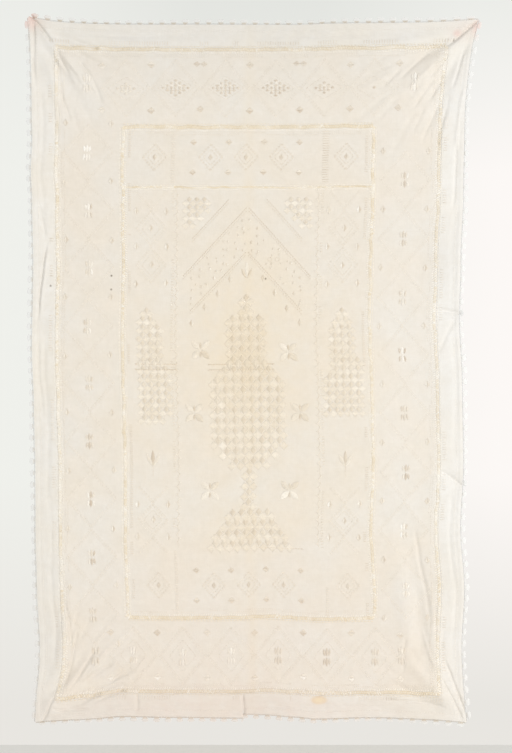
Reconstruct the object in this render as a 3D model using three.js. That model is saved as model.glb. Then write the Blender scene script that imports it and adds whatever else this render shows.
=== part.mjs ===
// Embroidered prayer hanging: a whitework panel in a pieced plain border with a picot edging,
// hung flat by its top edge and pulled at its corners.
// Millimetres, +Z up. The face looks along -Y, and the origin is the middle of the top edge.
import * as THREE from "three";

// Driving sizes of the cloth laid flat
const CLOTH_WIDTH = 964;
const CLOTH_HEIGHT = 1556;
const BORDER_WIDTH = 51;
const CLOTH_THICKNESS = 1.6;
const SEAM_GAP = 0.3;
const BORDER_CELLS = 2;

// The bottom border is joined from two lengths, and the left one hangs lower at the join
const JOIN = { x: -19, leftDrop: 4, rightDrop: -5, reach: 55 };

// The edging: a narrow braid with a picot at every stitch
const PICOTS_ACROSS = 38;
const PICOTS_DOWN = 61;
const BRAID = { width: 3.2, thickness: 2.4 };
const ROOT_CLEARANCE = 1;
const PICOT = { length: 8.5, root: 3.4, head: 7, headThickness: 4.2, headAt: 0.55, slide: 2.2, vary: 0.16 };

// Grid of the cloth, counted in picots from each end of an edge: half-pitch cells, then one to each
// picot, then one to every second picot
const FINE_PICOTS = 3;
const MEDIUM_PICOTS = 7;
const COARSE_STEP = 2;

// How far each edge of the hung cloth stands out from the flat rectangle
const LEFT_EDGE = [
  { at: 0, out: 1.5 },
  { at: 190, out: 1.8 },
  { at: 260, out: 0.6 },
  { at: 326, out: 3.8 },
  { at: 394, out: 0.8 },
  { at: 529, out: -1.6 },
  { at: 731, out: 1.8 },
  { at: 866, out: -2.7 },
  { at: 1001, out: -6 },
  { at: 1136, out: -7.2 },
  { at: 1271, out: -10.5 },
  { at: 1406, out: -18 },
  { at: 1556, out: -16 },
];
const RIGHT_EDGE = [
  { at: 0, out: 9 },
  { at: 259, out: 6.3 },
  { at: 394, out: 4 },
  { at: 529, out: -2.7 },
  { at: 664, out: -5 },
  { at: 799, out: 0.7 },
  { at: 1001, out: 4 },
  { at: 1136, out: -2.7 },
  { at: 1271, out: 6 },
  { at: 1406, out: -0.5 },
  { at: 1556, out: 3 },
];
const TOP_EDGE = [
  { at: -482, out: 0 },
  { at: -240, out: 0 },
  { at: 100, out: 0 },
  { at: 200, out: 3 },
  { at: 378, out: 4 },
  { at: 482, out: 4.5 },
];
const BOTTOM_EDGE = [
  { at: -482, out: -1 },
  { at: -353, out: -1.5 },
  { at: -297, out: -3.5 },
  { at: -185, out: -1 },
  { at: -72, out: 0 },
  { at: 40, out: -4 },
  { at: 97, out: -1 },
  { at: 153, out: 3.4 },
  { at: 266, out: 1 },
  { at: 378, out: 2 },
  { at: 482, out: 1 },
];

// The pull at each corner: side is -1 left and 1 right, end is 0 top and 1 bottom
const CORNER_PULLS = [
  { side: -1, end: 0, out: 9, up: 18, reach: 70 },
  { side: 1, end: 0, out: 29, up: 8, reach: 62 },
  { side: -1, end: 1, out: 10, up: -13, reach: 75 },
  { side: 1, end: 1, out: 9, up: -12, reach: 75 },
];

// Main folds from one flat place to another, x from the middle and down from the top edge:
// lift is the height of a ridge (or depth of a trough) and width its half width
const FOLDS = [
  { x: -462, down: 12, toX: -330, toDown: 165, lift: 5, width: 15 },
  { x: -455, down: 52, toX: -352, toDown: 205, lift: -5, width: 13 },
  { x: -432, down: 26, toX: -300, toDown: 122, lift: -5, width: 13 },
  { x: -448, down: 70, toX: -398, toDown: 265, lift: 4, width: 14 },
  { x: -400, down: 18, toX: -170, toDown: 62, lift: 4, width: 14 },
  { x: 478, down: 16, toX: 330, toDown: 165, lift: 5, width: 15 },
  { x: 452, down: 30, toX: 300, toDown: 118, lift: -5, width: 13 },
  { x: 470, down: 52, toX: 366, toDown: 218, lift: -5, width: 13 },
  { x: 448, down: 86, toX: 398, toDown: 300, lift: -5, width: 17 },
  { x: 420, down: 30, toX: 215, toDown: 64, lift: 4, width: 14 },
  { x: -458, down: 1532, toX: -330, toDown: 1400, lift: 5, width: 15 },
  { x: -448, down: 1498, toX: -362, toDown: 1380, lift: -5, width: 13 },
  { x: -420, down: 1532, toX: -285, toDown: 1448, lift: -5, width: 13 },
  { x: -440, down: 1470, toX: -404, toDown: 1250, lift: 4, width: 15 },
  { x: 458, down: 1530, toX: 335, toDown: 1400, lift: 5, width: 15 },
  { x: 428, down: 1535, toX: 290, toDown: 1462, lift: -5, width: 13 },
  { x: 398, down: 1420, toX: 354, toDown: 1120, lift: -6, width: 16 },
  { x: 372, down: 1440, toX: 322, toDown: 1140, lift: 4, width: 17 },
  { x: 432, down: 1500, toX: 404, toDown: 1250, lift: 5, width: 15 },
  { x: 490, down: 652, toX: 420, toDown: 642, lift: -6, width: 12 },
  { x: 486, down: 1042, toX: 430, toDown: 1000, lift: -5, width: 12 },
];

// Where a fold starts, is full, begins to fade and ends, as shares of its length
const FOLD_FADE = { start: -0.12, full: 0.2, ebb: 0.45, end: 1.05 };

// Soft swellings of the cloth: the half size across and down, and the lift
const BILLOWS = [
  { x: 478, down: 540, across: 45, tall: 80, lift: 14 },
  { x: 478, down: 850, across: 48, tall: 130, lift: 9 },
  { x: 480, down: 1220, across: 45, tall: 110, lift: 8 },
  { x: -480, down: 420, across: 42, tall: 160, lift: 7 },
  { x: -480, down: 1180, across: 50, tall: 150, lift: 9 },
  { x: -230, down: 1550, across: 130, tall: 42, lift: 8 },
  { x: 110, down: 1550, across: 100, tall: 42, lift: 9 },
  { x: 300, down: 1545, across: 70, tall: 42, lift: -5 },
  { x: -100, down: 4, across: 170, tall: 50, lift: 6 },
  { x: 230, down: 4, across: 120, tall: 50, lift: 5 },
  { x: -150, down: 560, across: 230, tall: 330, lift: -5 },
  { x: 190, down: 900, across: 200, tall: 300, lift: 5 },
  { x: -60, down: 1240, across: 260, tall: 200, lift: -4 },
];

const CLOTH_MATERIAL = { color: 0xf0e9dc, roughness: 0.9, metalness: 0 };
const BORDER_MATERIAL = { color: 0xf1eee5, roughness: 0.9, metalness: 0 };
const EDGING_MATERIAL = { color: 0xe6d6c0, roughness: 0.85, metalness: 0 };

const HALF_WIDTH = CLOTH_WIDTH / 2;
const HALF_GAP = SEAM_GAP / 2;
const MITRE_GAP = HALF_GAP * Math.SQRT2;
const SLOPE_STEP = 0.1;

const smooth = (t) => t * t * (3 - 2 * t);
const rise = (from, to, value) => smooth(THREE.MathUtils.clamp((value - from) / (to - from), 0, 1));
const lerp = THREE.MathUtils.lerp;

// The row of a table or list that a place lies after, so that its ends carry on past the list
function intervalOf(places, place) {
  let k = 0;
  while (k < places.length - 2 && places[k + 1] <= place) k += 1;
  return k;
}

// An edge table at a place, eased from row to row and level past its ends
function edgeOut(table, place) {
  const k = intervalOf(table.map((row) => row.at), place);
  const [from, to] = [table[k], table[k + 1]];
  return lerp(from.out, to.out, rise(from.at, to.at, place));
}

// The lift of one fold: strong near its start, fading to its far end
function foldLift(fold, x, down) {
  const along = new THREE.Vector2(fold.toX - fold.x, fold.toDown - fold.down);
  const length = along.length();
  along.divideScalar(length);
  const here = new THREE.Vector2(x - fold.x, down - fold.down);
  const reach = here.dot(along) / length;
  const off = here.cross(along) / fold.width;
  const fade = rise(FOLD_FADE.start, FOLD_FADE.full, reach) * (1 - rise(FOLD_FADE.ebb, FOLD_FADE.end, reach));
  return fold.lift * fade * Math.exp(-off * off);
}

function billowLift(billow, x, down) {
  const a = (x - billow.x) / billow.across;
  const b = (down - billow.down) / billow.tall;
  return billow.lift * Math.exp(-a * a - b * b);
}

// How far the cloth stands towards the viewer at a flat place
function liftAt(x, down) {
  const folds = FOLDS.reduce((sum, fold) => sum + foldLift(fold, x, down), 0);
  return BILLOWS.reduce((sum, billow) => sum + billowLift(billow, x, down), folds);
}

// The top edge's middle, by which the cloth is held, lies at the origin
const MOUNT_LIFT = liftAt(0, 0);

// The bottom border's own drop on either side of its join, none at its seam with the panel
function joinDrop(x, down) {
  const across = Math.max(0, (down - (CLOTH_HEIGHT - BORDER_WIDTH)) / BORDER_WIDTH);
  const drop = x < JOIN.x ? JOIN.leftDrop : JOIN.rightDrop;
  return drop * across * Math.exp(-Math.abs(x - JOIN.x) / JOIN.reach);
}

// The hung place of a flat place: x from the middle, down from the top edge
function hang(x, down) {
  const across = x / CLOTH_WIDTH + 0.5;
  const along = down / CLOTH_HEIGHT;
  let hungX = x + lerp(-edgeOut(LEFT_EDGE, down), edgeOut(RIGHT_EDGE, down), across);
  let hungZ = -down + lerp(edgeOut(TOP_EDGE, x), -edgeOut(BOTTOM_EDGE, x), along) - joinDrop(x, down);
  for (const pull of CORNER_PULLS) {
    const away = Math.hypot(x - pull.side * HALF_WIDTH, down - pull.end * CLOTH_HEIGHT);
    const weight = Math.exp(-away / pull.reach);
    hungX += pull.side * pull.out * weight;
    hungZ += pull.up * weight;
  }
  return new THREE.Vector3(hungX, MOUNT_LIFT - liftAt(x, down), hungZ);
}

// The direction the face looks in at a flat place
function facing(x, down) {
  const acrossStep = hang(x + SLOPE_STEP, down).sub(hang(x - SLOPE_STEP, down));
  const downStep = hang(x, down + SLOPE_STEP).sub(hang(x, down - SLOPE_STEP));
  return downStep.cross(acrossStep).normalize();
}

// Both sides of a sheet at a flat place
function bothFaces(x, down, thickness) {
  const middle = hang(x, down);
  const half = facing(x, down).multiplyScalar(thickness / 2);
  return { front: middle.clone().add(half), back: middle.clone().sub(half) };
}

// Collects the corners and triangles of one closed body
class Body {
  constructor() {
    this.points = [];
    this.triangles = [];
  }

  add(point) {
    this.points.push(point.x, point.y, point.z);
    return this.points.length / 3 - 1;
  }

  quad(a, b, c, d) {
    this.triangles.push(a, b, c, a, c, d);
  }

  geometry() {
    const geometry = new THREE.BufferGeometry();
    geometry.setAttribute("position", new THREE.Float32BufferAttribute(this.points, 3));
    geometry.setIndex(this.triangles);
    geometry.computeVertexNormals();
    return geometry;
  }
}

// A closed sheet over a grid of flat places, columns to the right and rows downwards
function sheetGeometry(columns, rows, placeAt) {
  const body = new Body();
  const front = [];
  const back = [];
  for (let i = 0; i < columns; i += 1) {
    front.push([]);
    back.push([]);
    for (let j = 0; j < rows; j += 1) {
      const place = placeAt(i, j);
      const faces = bothFaces(place.x, place.down, CLOTH_THICKNESS);
      front[i].push(body.add(faces.front));
      back[i].push(body.add(faces.back));
    }
  }
  const lastColumn = columns - 1;
  const lastRow = rows - 1;
  for (let i = 0; i < lastColumn; i += 1) {
    for (let j = 0; j < lastRow; j += 1) {
      body.quad(front[i][j], front[i][j + 1], front[i + 1][j + 1], front[i + 1][j]);
      body.quad(back[i][j], back[i + 1][j], back[i + 1][j + 1], back[i][j + 1]);
    }
    body.quad(front[i][0], front[i + 1][0], back[i + 1][0], back[i][0]);
    body.quad(front[i][lastRow], back[i][lastRow], back[i + 1][lastRow], front[i + 1][lastRow]);
  }
  for (let j = 0; j < lastRow; j += 1) {
    body.quad(front[0][j + 1], front[0][j], back[0][j], back[0][j + 1]);
    body.quad(front[lastColumn][j + 1], back[lastColumn][j + 1], back[lastColumn][j], front[lastColumn][j]);
  }
  return body.geometry();
}

// Places of the picots along an edge, and the edge's grid lines at and between them
function picotPlaces(count, start, length) {
  const pitch = length / count;
  return Array.from({ length: count }, (_, k) => start + (k + 0.5) * pitch);
}

function gridLines(count, start, length) {
  const pitch = length / count;
  const lines = [start];
  for (let half = 1; half < 2 * count; half += 1) {
    const fromEnd = Math.min(half, 2 * count - half) / 2;
    const onPicot = half % 2 === 1;
    const medium = onPicot && fromEnd <= MEDIUM_PICOTS;
    const coarse = onPicot && ((half - 1) / 2 - MEDIUM_PICOTS) % COARSE_STEP === 0;
    if (fromEnd <= FINE_PICOTS || medium || coarse) lines.push(start + (half * pitch) / 2);
  }
  lines.push(start + length);
  return lines;
}

// The grid line nearest to the bottom border's join moves onto it
function withJoin(lines) {
  const away = lines.map((line) => Math.abs(line - JOIN.x));
  const nearest = away.indexOf(Math.min(...away));
  return lines.map((line, k) => (k === nearest ? JOIN.x : line));
}

const EDGE_COLUMNS = withJoin(gridLines(PICOTS_ACROSS, -HALF_WIDTH, CLOTH_WIDTH));
const EDGE_ROWS = gridLines(PICOTS_DOWN, 0, CLOTH_HEIGHT);

// An edge's grid line drawn in to the panel's side, where the border's mitres end;
// inset is the width of border left outside it
const innerColumn = (x, inset) => x * (1 - (2 * inset) / CLOTH_WIDTH);
const innerRow = (down, inset) => inset + down * (1 - (2 * inset) / CLOTH_HEIGHT);

// The join stays straight down the border, so its inner end keeps its own place
const seamColumn = (x, inset) => (Math.abs(x - JOIN.x) < SEAM_GAP ? x : innerColumn(x, inset));
const leftOfJoin = EDGE_COLUMNS.filter((x) => x <= JOIN.x).map((x) => Math.min(x, JOIN.x - HALF_GAP));
const rightOfJoin = EDGE_COLUMNS.filter((x) => x >= JOIN.x).map((x) => Math.max(x, JOIN.x + HALF_GAP));

function panelGeometry() {
  const inset = BORDER_WIDTH + HALF_GAP;
  return sheetGeometry(EDGE_COLUMNS.length, EDGE_ROWS.length, (i, j) => ({
    x: seamColumn(EDGE_COLUMNS[i], inset),
    down: innerRow(EDGE_ROWS[j], inset),
  }));
}

// One side border, from the cloth's edge (t = 0) to the panel (t = 1), mitred at both ends
function sideBorderGeometry(side) {
  const rows = EDGE_ROWS.length;
  return sheetGeometry(BORDER_CELLS + 1, rows, (i, j) => {
    const t = side < 0 ? i / BORDER_CELLS : 1 - i / BORDER_CELLS;
    const inset = t * (BORDER_WIDTH - HALF_GAP);
    const clear = MITRE_GAP * ((j === 0 ? 1 : 0) - (j === rows - 1 ? 1 : 0));
    return { x: side * (HALF_WIDTH - inset), down: innerRow(EDGE_ROWS[j], inset) + clear };
  });
}

// A top or bottom border over some of the grid's columns; end is 0 at the top and 1 at the bottom
function endBorderGeometry(end, columns) {
  return sheetGeometry(columns.length, BORDER_CELLS + 1, (i, j) => {
    const t = end === 0 ? j / BORDER_CELLS : 1 - j / BORDER_CELLS;
    const inset = t * (BORDER_WIDTH - HALF_GAP);
    const mitred = Math.abs(columns[i]) === HALF_WIDTH;
    const clear = mitred ? -Math.sign(columns[i]) * MITRE_GAP : 0;
    return {
      x: seamColumn(columns[i], inset) + clear,
      down: end === 0 ? inset : CLOTH_HEIGHT - inset,
    };
  });
}

// A fixed spread of values from -1 to 1, one for each picot of each run
const SPREAD = { byPicot: 12.9898, byRun: 78.233 };
const unevenness = (k, run) => Math.sin(k * SPREAD.byPicot + run * SPREAD.byRun);

// One run of edging along an edge whose grid lines are given. placeAt turns a place along the edge
// and a distance out from it into a flat place, turning is 1 where the run goes clockwise seen from
// the front, and mitres are the ends that meet another run round a corner.
function edgingGeometry({ lines, picots, placeAt, turning, mitres, run }) {
  const body = new Body();
  const half = BRAID.thickness / 2;
  const braidOut = SEAM_GAP + BRAID.width;

  // Straight between the border's own grid lines, so that the braid stays parallel to its edge
  const faceAt = (along, out, halfThickness) => {
    const k = intervalOf(lines, along);
    const t = (along - lines[k]) / (lines[k + 1] - lines[k]);
    const ends = [lines[k], lines[k + 1]].map((line) => {
      const place = placeAt(line, out);
      return bothFaces(place.x, place.down, 2 * halfThickness);
    });
    return {
      front: ends[0].front.lerp(ends[1].front, t),
      back: ends[0].back.lerp(ends[1].back, t),
    };
  };

  const roots = picots.map((place, k) => {
    const middle = place + PICOT.slide * unevenness(k, run);
    return { middle, from: middle - PICOT.root / 2, to: middle + PICOT.root / 2, order: k };
  });
  const clearOfRoots = (line) =>
    roots.every((root) => line < root.from - ROOT_CLEARANCE || line > root.to + ROOT_CLEARANCE);
  const stations = [
    ...lines.filter(clearOfRoots).map((along) => ({ along, root: null })),
    ...roots.map((root) => ({ along: root.from, root })),
    ...roots.map((root) => ({ along: root.to, root: null })),
  ].sort((a, b) => a.along - b.along);

  // The four corners of the braid at each station, its ends cut square or on the mitre
  const last = stations.length - 1;
  const rings = stations.map((station, k) => {
    const end = (k === last ? 1 : 0) - (k === 0 ? 1 : 0);
    const mitred = end !== 0 && mitres.includes(end);
    const alongAt = (out) => station.along + (mitred ? end * (out - MITRE_GAP) : 0);
    const inner = faceAt(alongAt(SEAM_GAP), SEAM_GAP, half);
    const outer = faceAt(alongAt(braidOut), braidOut, half);
    return [inner.front, outer.front, outer.back, inner.back].map((point) => body.add(point));
  });

  const triangle = (a, b, c) => body.triangles.push(...(turning > 0 ? [c, b, a] : [a, b, c]));
  const quad = (a, b, c, d) => {
    triangle(a, b, c);
    triangle(a, c, d);
  };
  const joinRings = (near, far, skipOuter) => {
    for (let side = 0; side < near.length; side += 1) {
      const next = (side + 1) % near.length;
      if (side === 1 && skipOuter) continue;
      quad(near[side], near[next], far[next], far[side]);
    }
  };

  // A picot: from its root in the braid's outer side to a wide head and a tip
  const addPicot = (root, near, far) => {
    const length = PICOT.length * (1 + PICOT.vary * unevenness(root.order, run + 0.5));
    const headOut = braidOut + length * PICOT.headAt;
    const sides = [-1, 1].map((side) => {
      return faceAt(root.middle + (side * PICOT.head) / 2, headOut, PICOT.headThickness / 2);
    });
    const base = [near[1], near[2], far[2], far[1]];
    const head = [sides[0].front, sides[0].back, sides[1].back, sides[1].front].map((p) => body.add(p));
    const tip = body.add(faceAt(root.middle, braidOut + length, 0).front);
    for (let side = 0; side < base.length; side += 1) {
      const next = (side + 1) % base.length;
      quad(base[side], base[next], head[next], head[side]);
      triangle(head[side], head[next], tip);
    }
  };

  for (let k = 0; k < last; k += 1) {
    const root = stations[k].root;
    joinRings(rings[k], rings[k + 1], root !== null);
    if (root) addPicot(root, rings[k], rings[k + 1]);
  }
  quad(...[...rings[0]].reverse());
  quad(...rings[last]);
  return body.geometry();
}

const acrossPicots = picotPlaces(PICOTS_ACROSS, -HALF_WIDTH, CLOTH_WIDTH);
const downPicots = picotPlaces(PICOTS_DOWN, 0, CLOTH_HEIGHT);
const picotClear = PICOT.root + PICOT.slide;

const sideEdge = (side) => ({
  lines: EDGE_ROWS,
  picots: downPicots,
  placeAt: (along, out) => ({ x: side * (HALF_WIDTH + out), down: along }),
  turning: side,
  mitres: [-1, 1],
});

const topEdge = {
  lines: EDGE_COLUMNS,
  picots: acrossPicots,
  placeAt: (along, out) => ({ x: along, down: -out }),
  turning: 1,
  mitres: [-1, 1],
};

const bottomEdge = (lines, keep, mitre) => ({
  lines,
  picots: acrossPicots.filter(keep),
  placeAt: (along, out) => ({ x: along, down: CLOTH_HEIGHT + out }),
  turning: -1,
  mitres: [mitre],
});

const EDGINGS = [
  { name: "edging_top", edge: topEdge },
  { name: "edging_left", edge: sideEdge(-1) },
  { name: "edging_right", edge: sideEdge(1) },
  { name: "edging_bottom_left", edge: bottomEdge(leftOfJoin, (x) => x < JOIN.x - picotClear, -1) },
  { name: "edging_bottom_right", edge: bottomEdge(rightOfJoin, (x) => x > JOIN.x + picotClear, 1) },
];

const BORDERS = [
  { name: "border_top", geometry: endBorderGeometry(0, EDGE_COLUMNS) },
  { name: "border_left", geometry: sideBorderGeometry(-1) },
  { name: "border_right", geometry: sideBorderGeometry(1) },
  { name: "border_bottom_left", geometry: endBorderGeometry(1, leftOfJoin) },
  { name: "border_bottom_right", geometry: endBorderGeometry(1, rightOfJoin) },
];

function namedMesh(name, geometry, finish) {
  const mesh = new THREE.Mesh(geometry, new THREE.MeshStandardMaterial(finish));
  mesh.name = name;
  return mesh;
}

const hanging = new THREE.Group();
hanging.add(namedMesh("panel", panelGeometry(), CLOTH_MATERIAL));
for (const { name, geometry } of BORDERS) hanging.add(namedMesh(name, geometry, BORDER_MATERIAL));
EDGINGS.forEach(({ name, edge }, run) => {
  hanging.add(namedMesh(name, edgingGeometry({ ...edge, run }), EDGING_MATERIAL));
});

export default hanging;
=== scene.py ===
"""Looks of a whitework prayer hanging: cloth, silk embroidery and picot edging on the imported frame.

The flat cloth is measured in millimetres: x from its middle, down from its top edge. hang() takes a flat
place to where it hangs. The frame is in metres.
"""

import math

import bpy
import numpy as np
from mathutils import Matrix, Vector


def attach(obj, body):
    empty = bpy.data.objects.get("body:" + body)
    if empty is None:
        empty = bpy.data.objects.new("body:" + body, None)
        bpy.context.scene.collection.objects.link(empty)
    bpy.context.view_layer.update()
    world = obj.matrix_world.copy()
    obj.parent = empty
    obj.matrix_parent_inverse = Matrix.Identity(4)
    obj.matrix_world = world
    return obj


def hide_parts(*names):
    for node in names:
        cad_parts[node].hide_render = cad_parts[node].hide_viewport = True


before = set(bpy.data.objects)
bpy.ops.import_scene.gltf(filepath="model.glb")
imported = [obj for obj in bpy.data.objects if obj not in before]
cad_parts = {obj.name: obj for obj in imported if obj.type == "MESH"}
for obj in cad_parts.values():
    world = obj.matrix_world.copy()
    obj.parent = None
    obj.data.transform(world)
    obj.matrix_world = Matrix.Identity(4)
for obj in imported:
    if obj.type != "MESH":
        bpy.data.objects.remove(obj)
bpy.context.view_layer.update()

MM = 0.001
BODY = "root"
WORK_SEED = 11
FAN_SEED = 5
RNG = np.random.default_rng(WORK_SEED)

# Sizes of the flat cloth, as in the solids
CLOTH_WIDTH = 964.0
CLOTH_HEIGHT = 1556.0
BORDER_WIDTH = 51.0
SEAM_GAP = 0.3
JOIN_X = -19.0
JOIN_LEFT_DROP = 4.0
JOIN_RIGHT_DROP = -5.0
JOIN_REACH = 55.0
HALF_WIDTH = CLOTH_WIDTH / 2
PANEL_HALF = HALF_WIDTH - BORDER_WIDTH
PANEL_TOP = BORDER_WIDTH
PANEL_BOTTOM = CLOTH_HEIGHT - BORDER_WIDTH

# Sheet grids: edge of a cell, finer near the creased edges
PANEL_CELL = 6.0
PANEL_FINE_CELL = 2.1
PANEL_FINE_ACROSS = 135.0
PANEL_FINE_DOWN = 190.0
BORDER_CELL = 2.2
BORDER_CELL_ACROSS = 2.0

# Lap of a border under the panel, and the hem at its outer edge
LAP = 3.5
LAP_DEPTH = 0.4
LAP_EASE = 3.0
HEM_WIDTH = 9.0
HEM_RISE = 1.1
HEM_EASE = 2.0

# Edges: place along the edge, how far it bulges outward
LEFT_EDGE = ((0, 1.5), (190, 1.8), (260, 0.6), (326, 3.8), (394, 0.8), (529, -1.6), (731, 1.8), (866, -2.7),
             (1001, -6), (1136, -7.2), (1271, -10.5), (1406, -18), (1556, -16))
RIGHT_EDGE = ((0, 9), (259, 6.3), (394, 4), (529, -2.7), (664, -5), (799, 0.7), (1001, 4), (1136, -2.7),
              (1271, 6), (1406, -0.5), (1556, 3))
TOP_EDGE = ((-482, 0), (-240, 0), (100, 0), (200, 3), (378, 4), (482, 4.5))
BOTTOM_EDGE = ((-482, -1), (-353, -1.5), (-297, -3.5), (-185, -1), (-72, 0), (40, -4), (97, -1), (153, 3.4),
               (266, 1), (378, 2), (482, 1))

# Corner pulls: side, end (0 top, 1 bottom), outward, upward, reach
CORNER_PULLS = ((-1, 0, 9, 18, 70), (1, 0, 29, 8, 62), (-1, 1, 10, -13, 75), (1, 1, 9, -12, 75))

# Seam drawn towards a corner: x, down, outward, upward, reach
SEAM_PULLS = ((-431, 1505, -15, -10, 40), (-372, 1505, 0, -8, 50), (431, 70, 6, 1, 90))

# Main folds: x, down, to x, to down, lift, width
FOLDS = (
    (-462, 12, -330, 165, 5, 15), (-455, 52, -352, 205, -5, 13), (-432, 26, -300, 122, -5, 13),
    (-448, 70, -398, 265, 4, 14), (-400, 18, -170, 62, 4, 14),
    (478, 16, 330, 165, 5, 15), (452, 30, 300, 118, -5, 13), (470, 52, 366, 218, -5, 13),
    (448, 86, 398, 300, -5, 17), (420, 30, 215, 64, 4, 14),
    (-458, 1532, -330, 1400, 5, 15), (-448, 1498, -362, 1380, -5, 13), (-420, 1532, -285, 1448, -5, 13),
    (-440, 1470, -404, 1250, 4, 15),
    (458, 1530, 335, 1400, 5, 15), (428, 1535, 290, 1462, -5, 13), (398, 1420, 354, 1120, -4.5, 19),
    (372, 1440, 322, 1140, 3, 20), (432, 1500, 404, 1250, 3.5, 17),
    (490, 652, 420, 642, -6, 12), (486, 1042, 430, 1000, -5, 12),
)
FOLD_FADE = (-0.12, 0.2, 0.45, 1.05)

# Fine creases: x, down, to x, to down, lift, width
CREASES = (
    (-482, -8, -431, 50, -6, 3.6), (-474, -4, -474, 134, -5, 2.8), (-424, 56, -396, 122, -3, 3.6),
    (-374, 86, -348, 126, -3, 3.4), (-418, 160, -398, 214, -2.6, 3.4), (-350, 124, -326, 176, -2.2, 3.4),
    (-424, 78, -413, 178, -3, 3.2), (-405, 74, -366, 140, 2.6, 4), (-387, 40, -297, 65, -2.4, 4),
    (-297, 65, -162, 67, -2, 4), (-330, 62, -272, 86, -2, 3.6), (-468, 404, -457, 480, -2.4, 3.6),
    (-453, 496, -473, 668, -4, 2.2), (-447, 505, -467, 655, 1.8, 3.4), (-470, 720, -462, 900, -2, 4),
    (494, -8, 431, 51, -6, 3.8), (437, 68, 390, 134, -3, 3.6), (392, 72, 336, 126, -3, 3.6),
    (426, 118, 401, 176, -2.8, 3.4), (407, 126, 366, 192, -3, 3.6), (422, 180, 389, 268, -3, 3.6),
    (437, 195, 425, 300, -2.8, 3.4), (468, 56, 448, 146, -2.8, 3.2), (338, 104, 297, 144, -2.2, 3.6),
    (404, 96, 352, 150, 2.4, 4.5), (466, 280, 459, 420, -2.6, 3.4), (474, 150, 466, 290, 2.2, 4),
    (490, 652, 420, 642, -3.4, 4), (486, 1042, 430, 1000, -3, 4), (475, 664, 434, 742, -2, 4.5),
    (-430, 1497, -474, 1566, -4, 3.2), (-351, 1404, -410, 1494, -4.2, 3.8),
    (-250, 1421, -320, 1480, -3, 3.8),
    (-268, 1452, -334, 1488, -3.4, 3.8), (-290, 1478, -390, 1520, -2.8, 3.8),
    (-316, 1438, -394, 1482, -3.8, 3.8), (-399, 1370, -416, 1482, -3, 3.4),
    (-266, 1494, -366, 1520, -2.6, 3.6), (-372, 1534, -442, 1524, -2.6, 3.4),
    (-262, 1508, -260, 1546, -2.4, 4), (-330, 1412, -388, 1486, 2.6, 4.4),
    (-421, 1300, -411, 1400, -2.2, 3.6),
    (448, 1430, 487, 1566, -3.6, 3.2), (436, 1466, 474, 1560, -3, 3.2), (379, 1136, 410, 1370, -2.6, 4.5),
    (352, 1380, 349, 1456, -1.8, 4), (417, 1297, 422, 1378, -2.6, 3.6), (434, 1530, 299, 1512, -2.8, 3.8),
    (-460, 150, -458, 500, -1.5, 5), (-455, 700, -451, 1120, -1.5, 5.5), (-449, 1120, -446, 1420, -1.8, 5),
    (466, 420, 462, 640, -0.9, 6), (470, 700, 464, 1000, -1, 6), (458, 1050, 464, 1420, -1.5, 5),
    (-380, 24, -100, 27, -1.7, 5), (20, 28, 330, 22, -1.7, 5), (-330, 1530, -60, 1534, -1.8, 5),
    (20, 1534, 330, 1530, -1.8, 5),
    (-256, 764, -139, 766, -2.4, 5), (-92, 766, 66, 766, -2.6, 5), (-19, 1508, -19, 1570, -3.4, 3),
)
CREASE_FADE = (-0.08, 0.12, 0.75, 1.08)

# Waves that keep the creases from running straight: a long one on both places, a short one and its phase
STRAY = 2.2
STRAY_FINE = 0.5
STRAY_ACROSS = (37.0, 63.0, 14.0, 2.0)
STRAY_ALONG = (39.0, -71.0, 15.0, 1.0)

# Fans of slight creases from the corners: side, corner's down, way in, how many
FANS = ((-1, 40, 1, 11), (1, 40, 1, 11), (-1, 1516, -1, 14), (1, 1516, -1, 9))
FAN_X = 452.0
FAN_START = (45.0, 190.0)
FAN_LENGTH = (45.0, 120.0)
FAN_LIFT = (0.7, 1.7)
FAN_WIDTH = (3.4, 6.0)
FAN_SLANT = (0.1, 0.9)
FAN_RIDGE_EVERY = 3

# Soft billows: x, down, half width, half height, lift
BILLOWS = (
    (478, 540, 45, 80, 14), (478, 850, 48, 130, 9), (480, 1220, 45, 110, 8), (-480, 420, 42, 160, 7),
    (-480, 1180, 50, 150, 9), (-230, 1550, 130, 42, 8), (110, 1550, 100, 42, 9), (300, 1545, 70, 42, -5),
    (-100, 4, 170, 50, 6), (230, 4, 120, 50, 5), (-150, 560, 230, 330, -5), (190, 900, 200, 300, 5),
    (-60, 1240, 260, 200, -4),
)
SLOPE_STEP = 0.4

# Thread: width, how far apart, height to width, and the share of a stitch that tapers
THREAD_WIDTH = 1.7
THREAD_PITCH = 1.45
THREAD_HEIGHT = 0.34
TAPER = 0.13
LEAST_STITCH = 0.1
SATIN_SLANT = 0.12
LEAF_FULLNESS = 0.8
PLACE_JITTER = 1.3
WEAR_STEP = 34.0

# Tints of the silk, from deep buff at 0 to bright ivory at 1. Besides the silk's own colour they carry
# painted sheen where halves, cells or motifs are lit or shaded, and bright ivory also stands in for painted
# highlights on satin.
BUFF = 0.20
STRAW = 0.38
LINE = 0.45
WORN = 0.58
CREAM = 0.62
PALE = 0.80
IVORY = 0.92
# Dark and light checker cells: painted sheen of level and upright threads
CHECK_DARK = 0.41
CHECK_LIGHT = 0.60
GABLE_TINT = 0.10
EYE_DARK = 0.10
TINT_JITTER = 0.065
FADE_SPREAD = 0.4

# Layout of the work on the panel
FRAME_X = 280.0
FRAME_TOP = 229.5
FRAME_BOTTOM = 1335.0
NICHE_TOP = 364.5
NICHE_BASE = 1175.0
NICHE_X = 159.0
OUTER_LINE_INSET = 4.0

# Names of a mesh's texture map and of its tint attribute
FLAT_MAP = "flat"
TINT = "tint"


# Hanging shape
def rise(start, end, value):
    """Eased step from 0 at start to 1 at end."""
    t = np.clip((value - start) / (end - start), 0.0, 1.0)
    return t * t * (3.0 - 2.0 * t)


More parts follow.
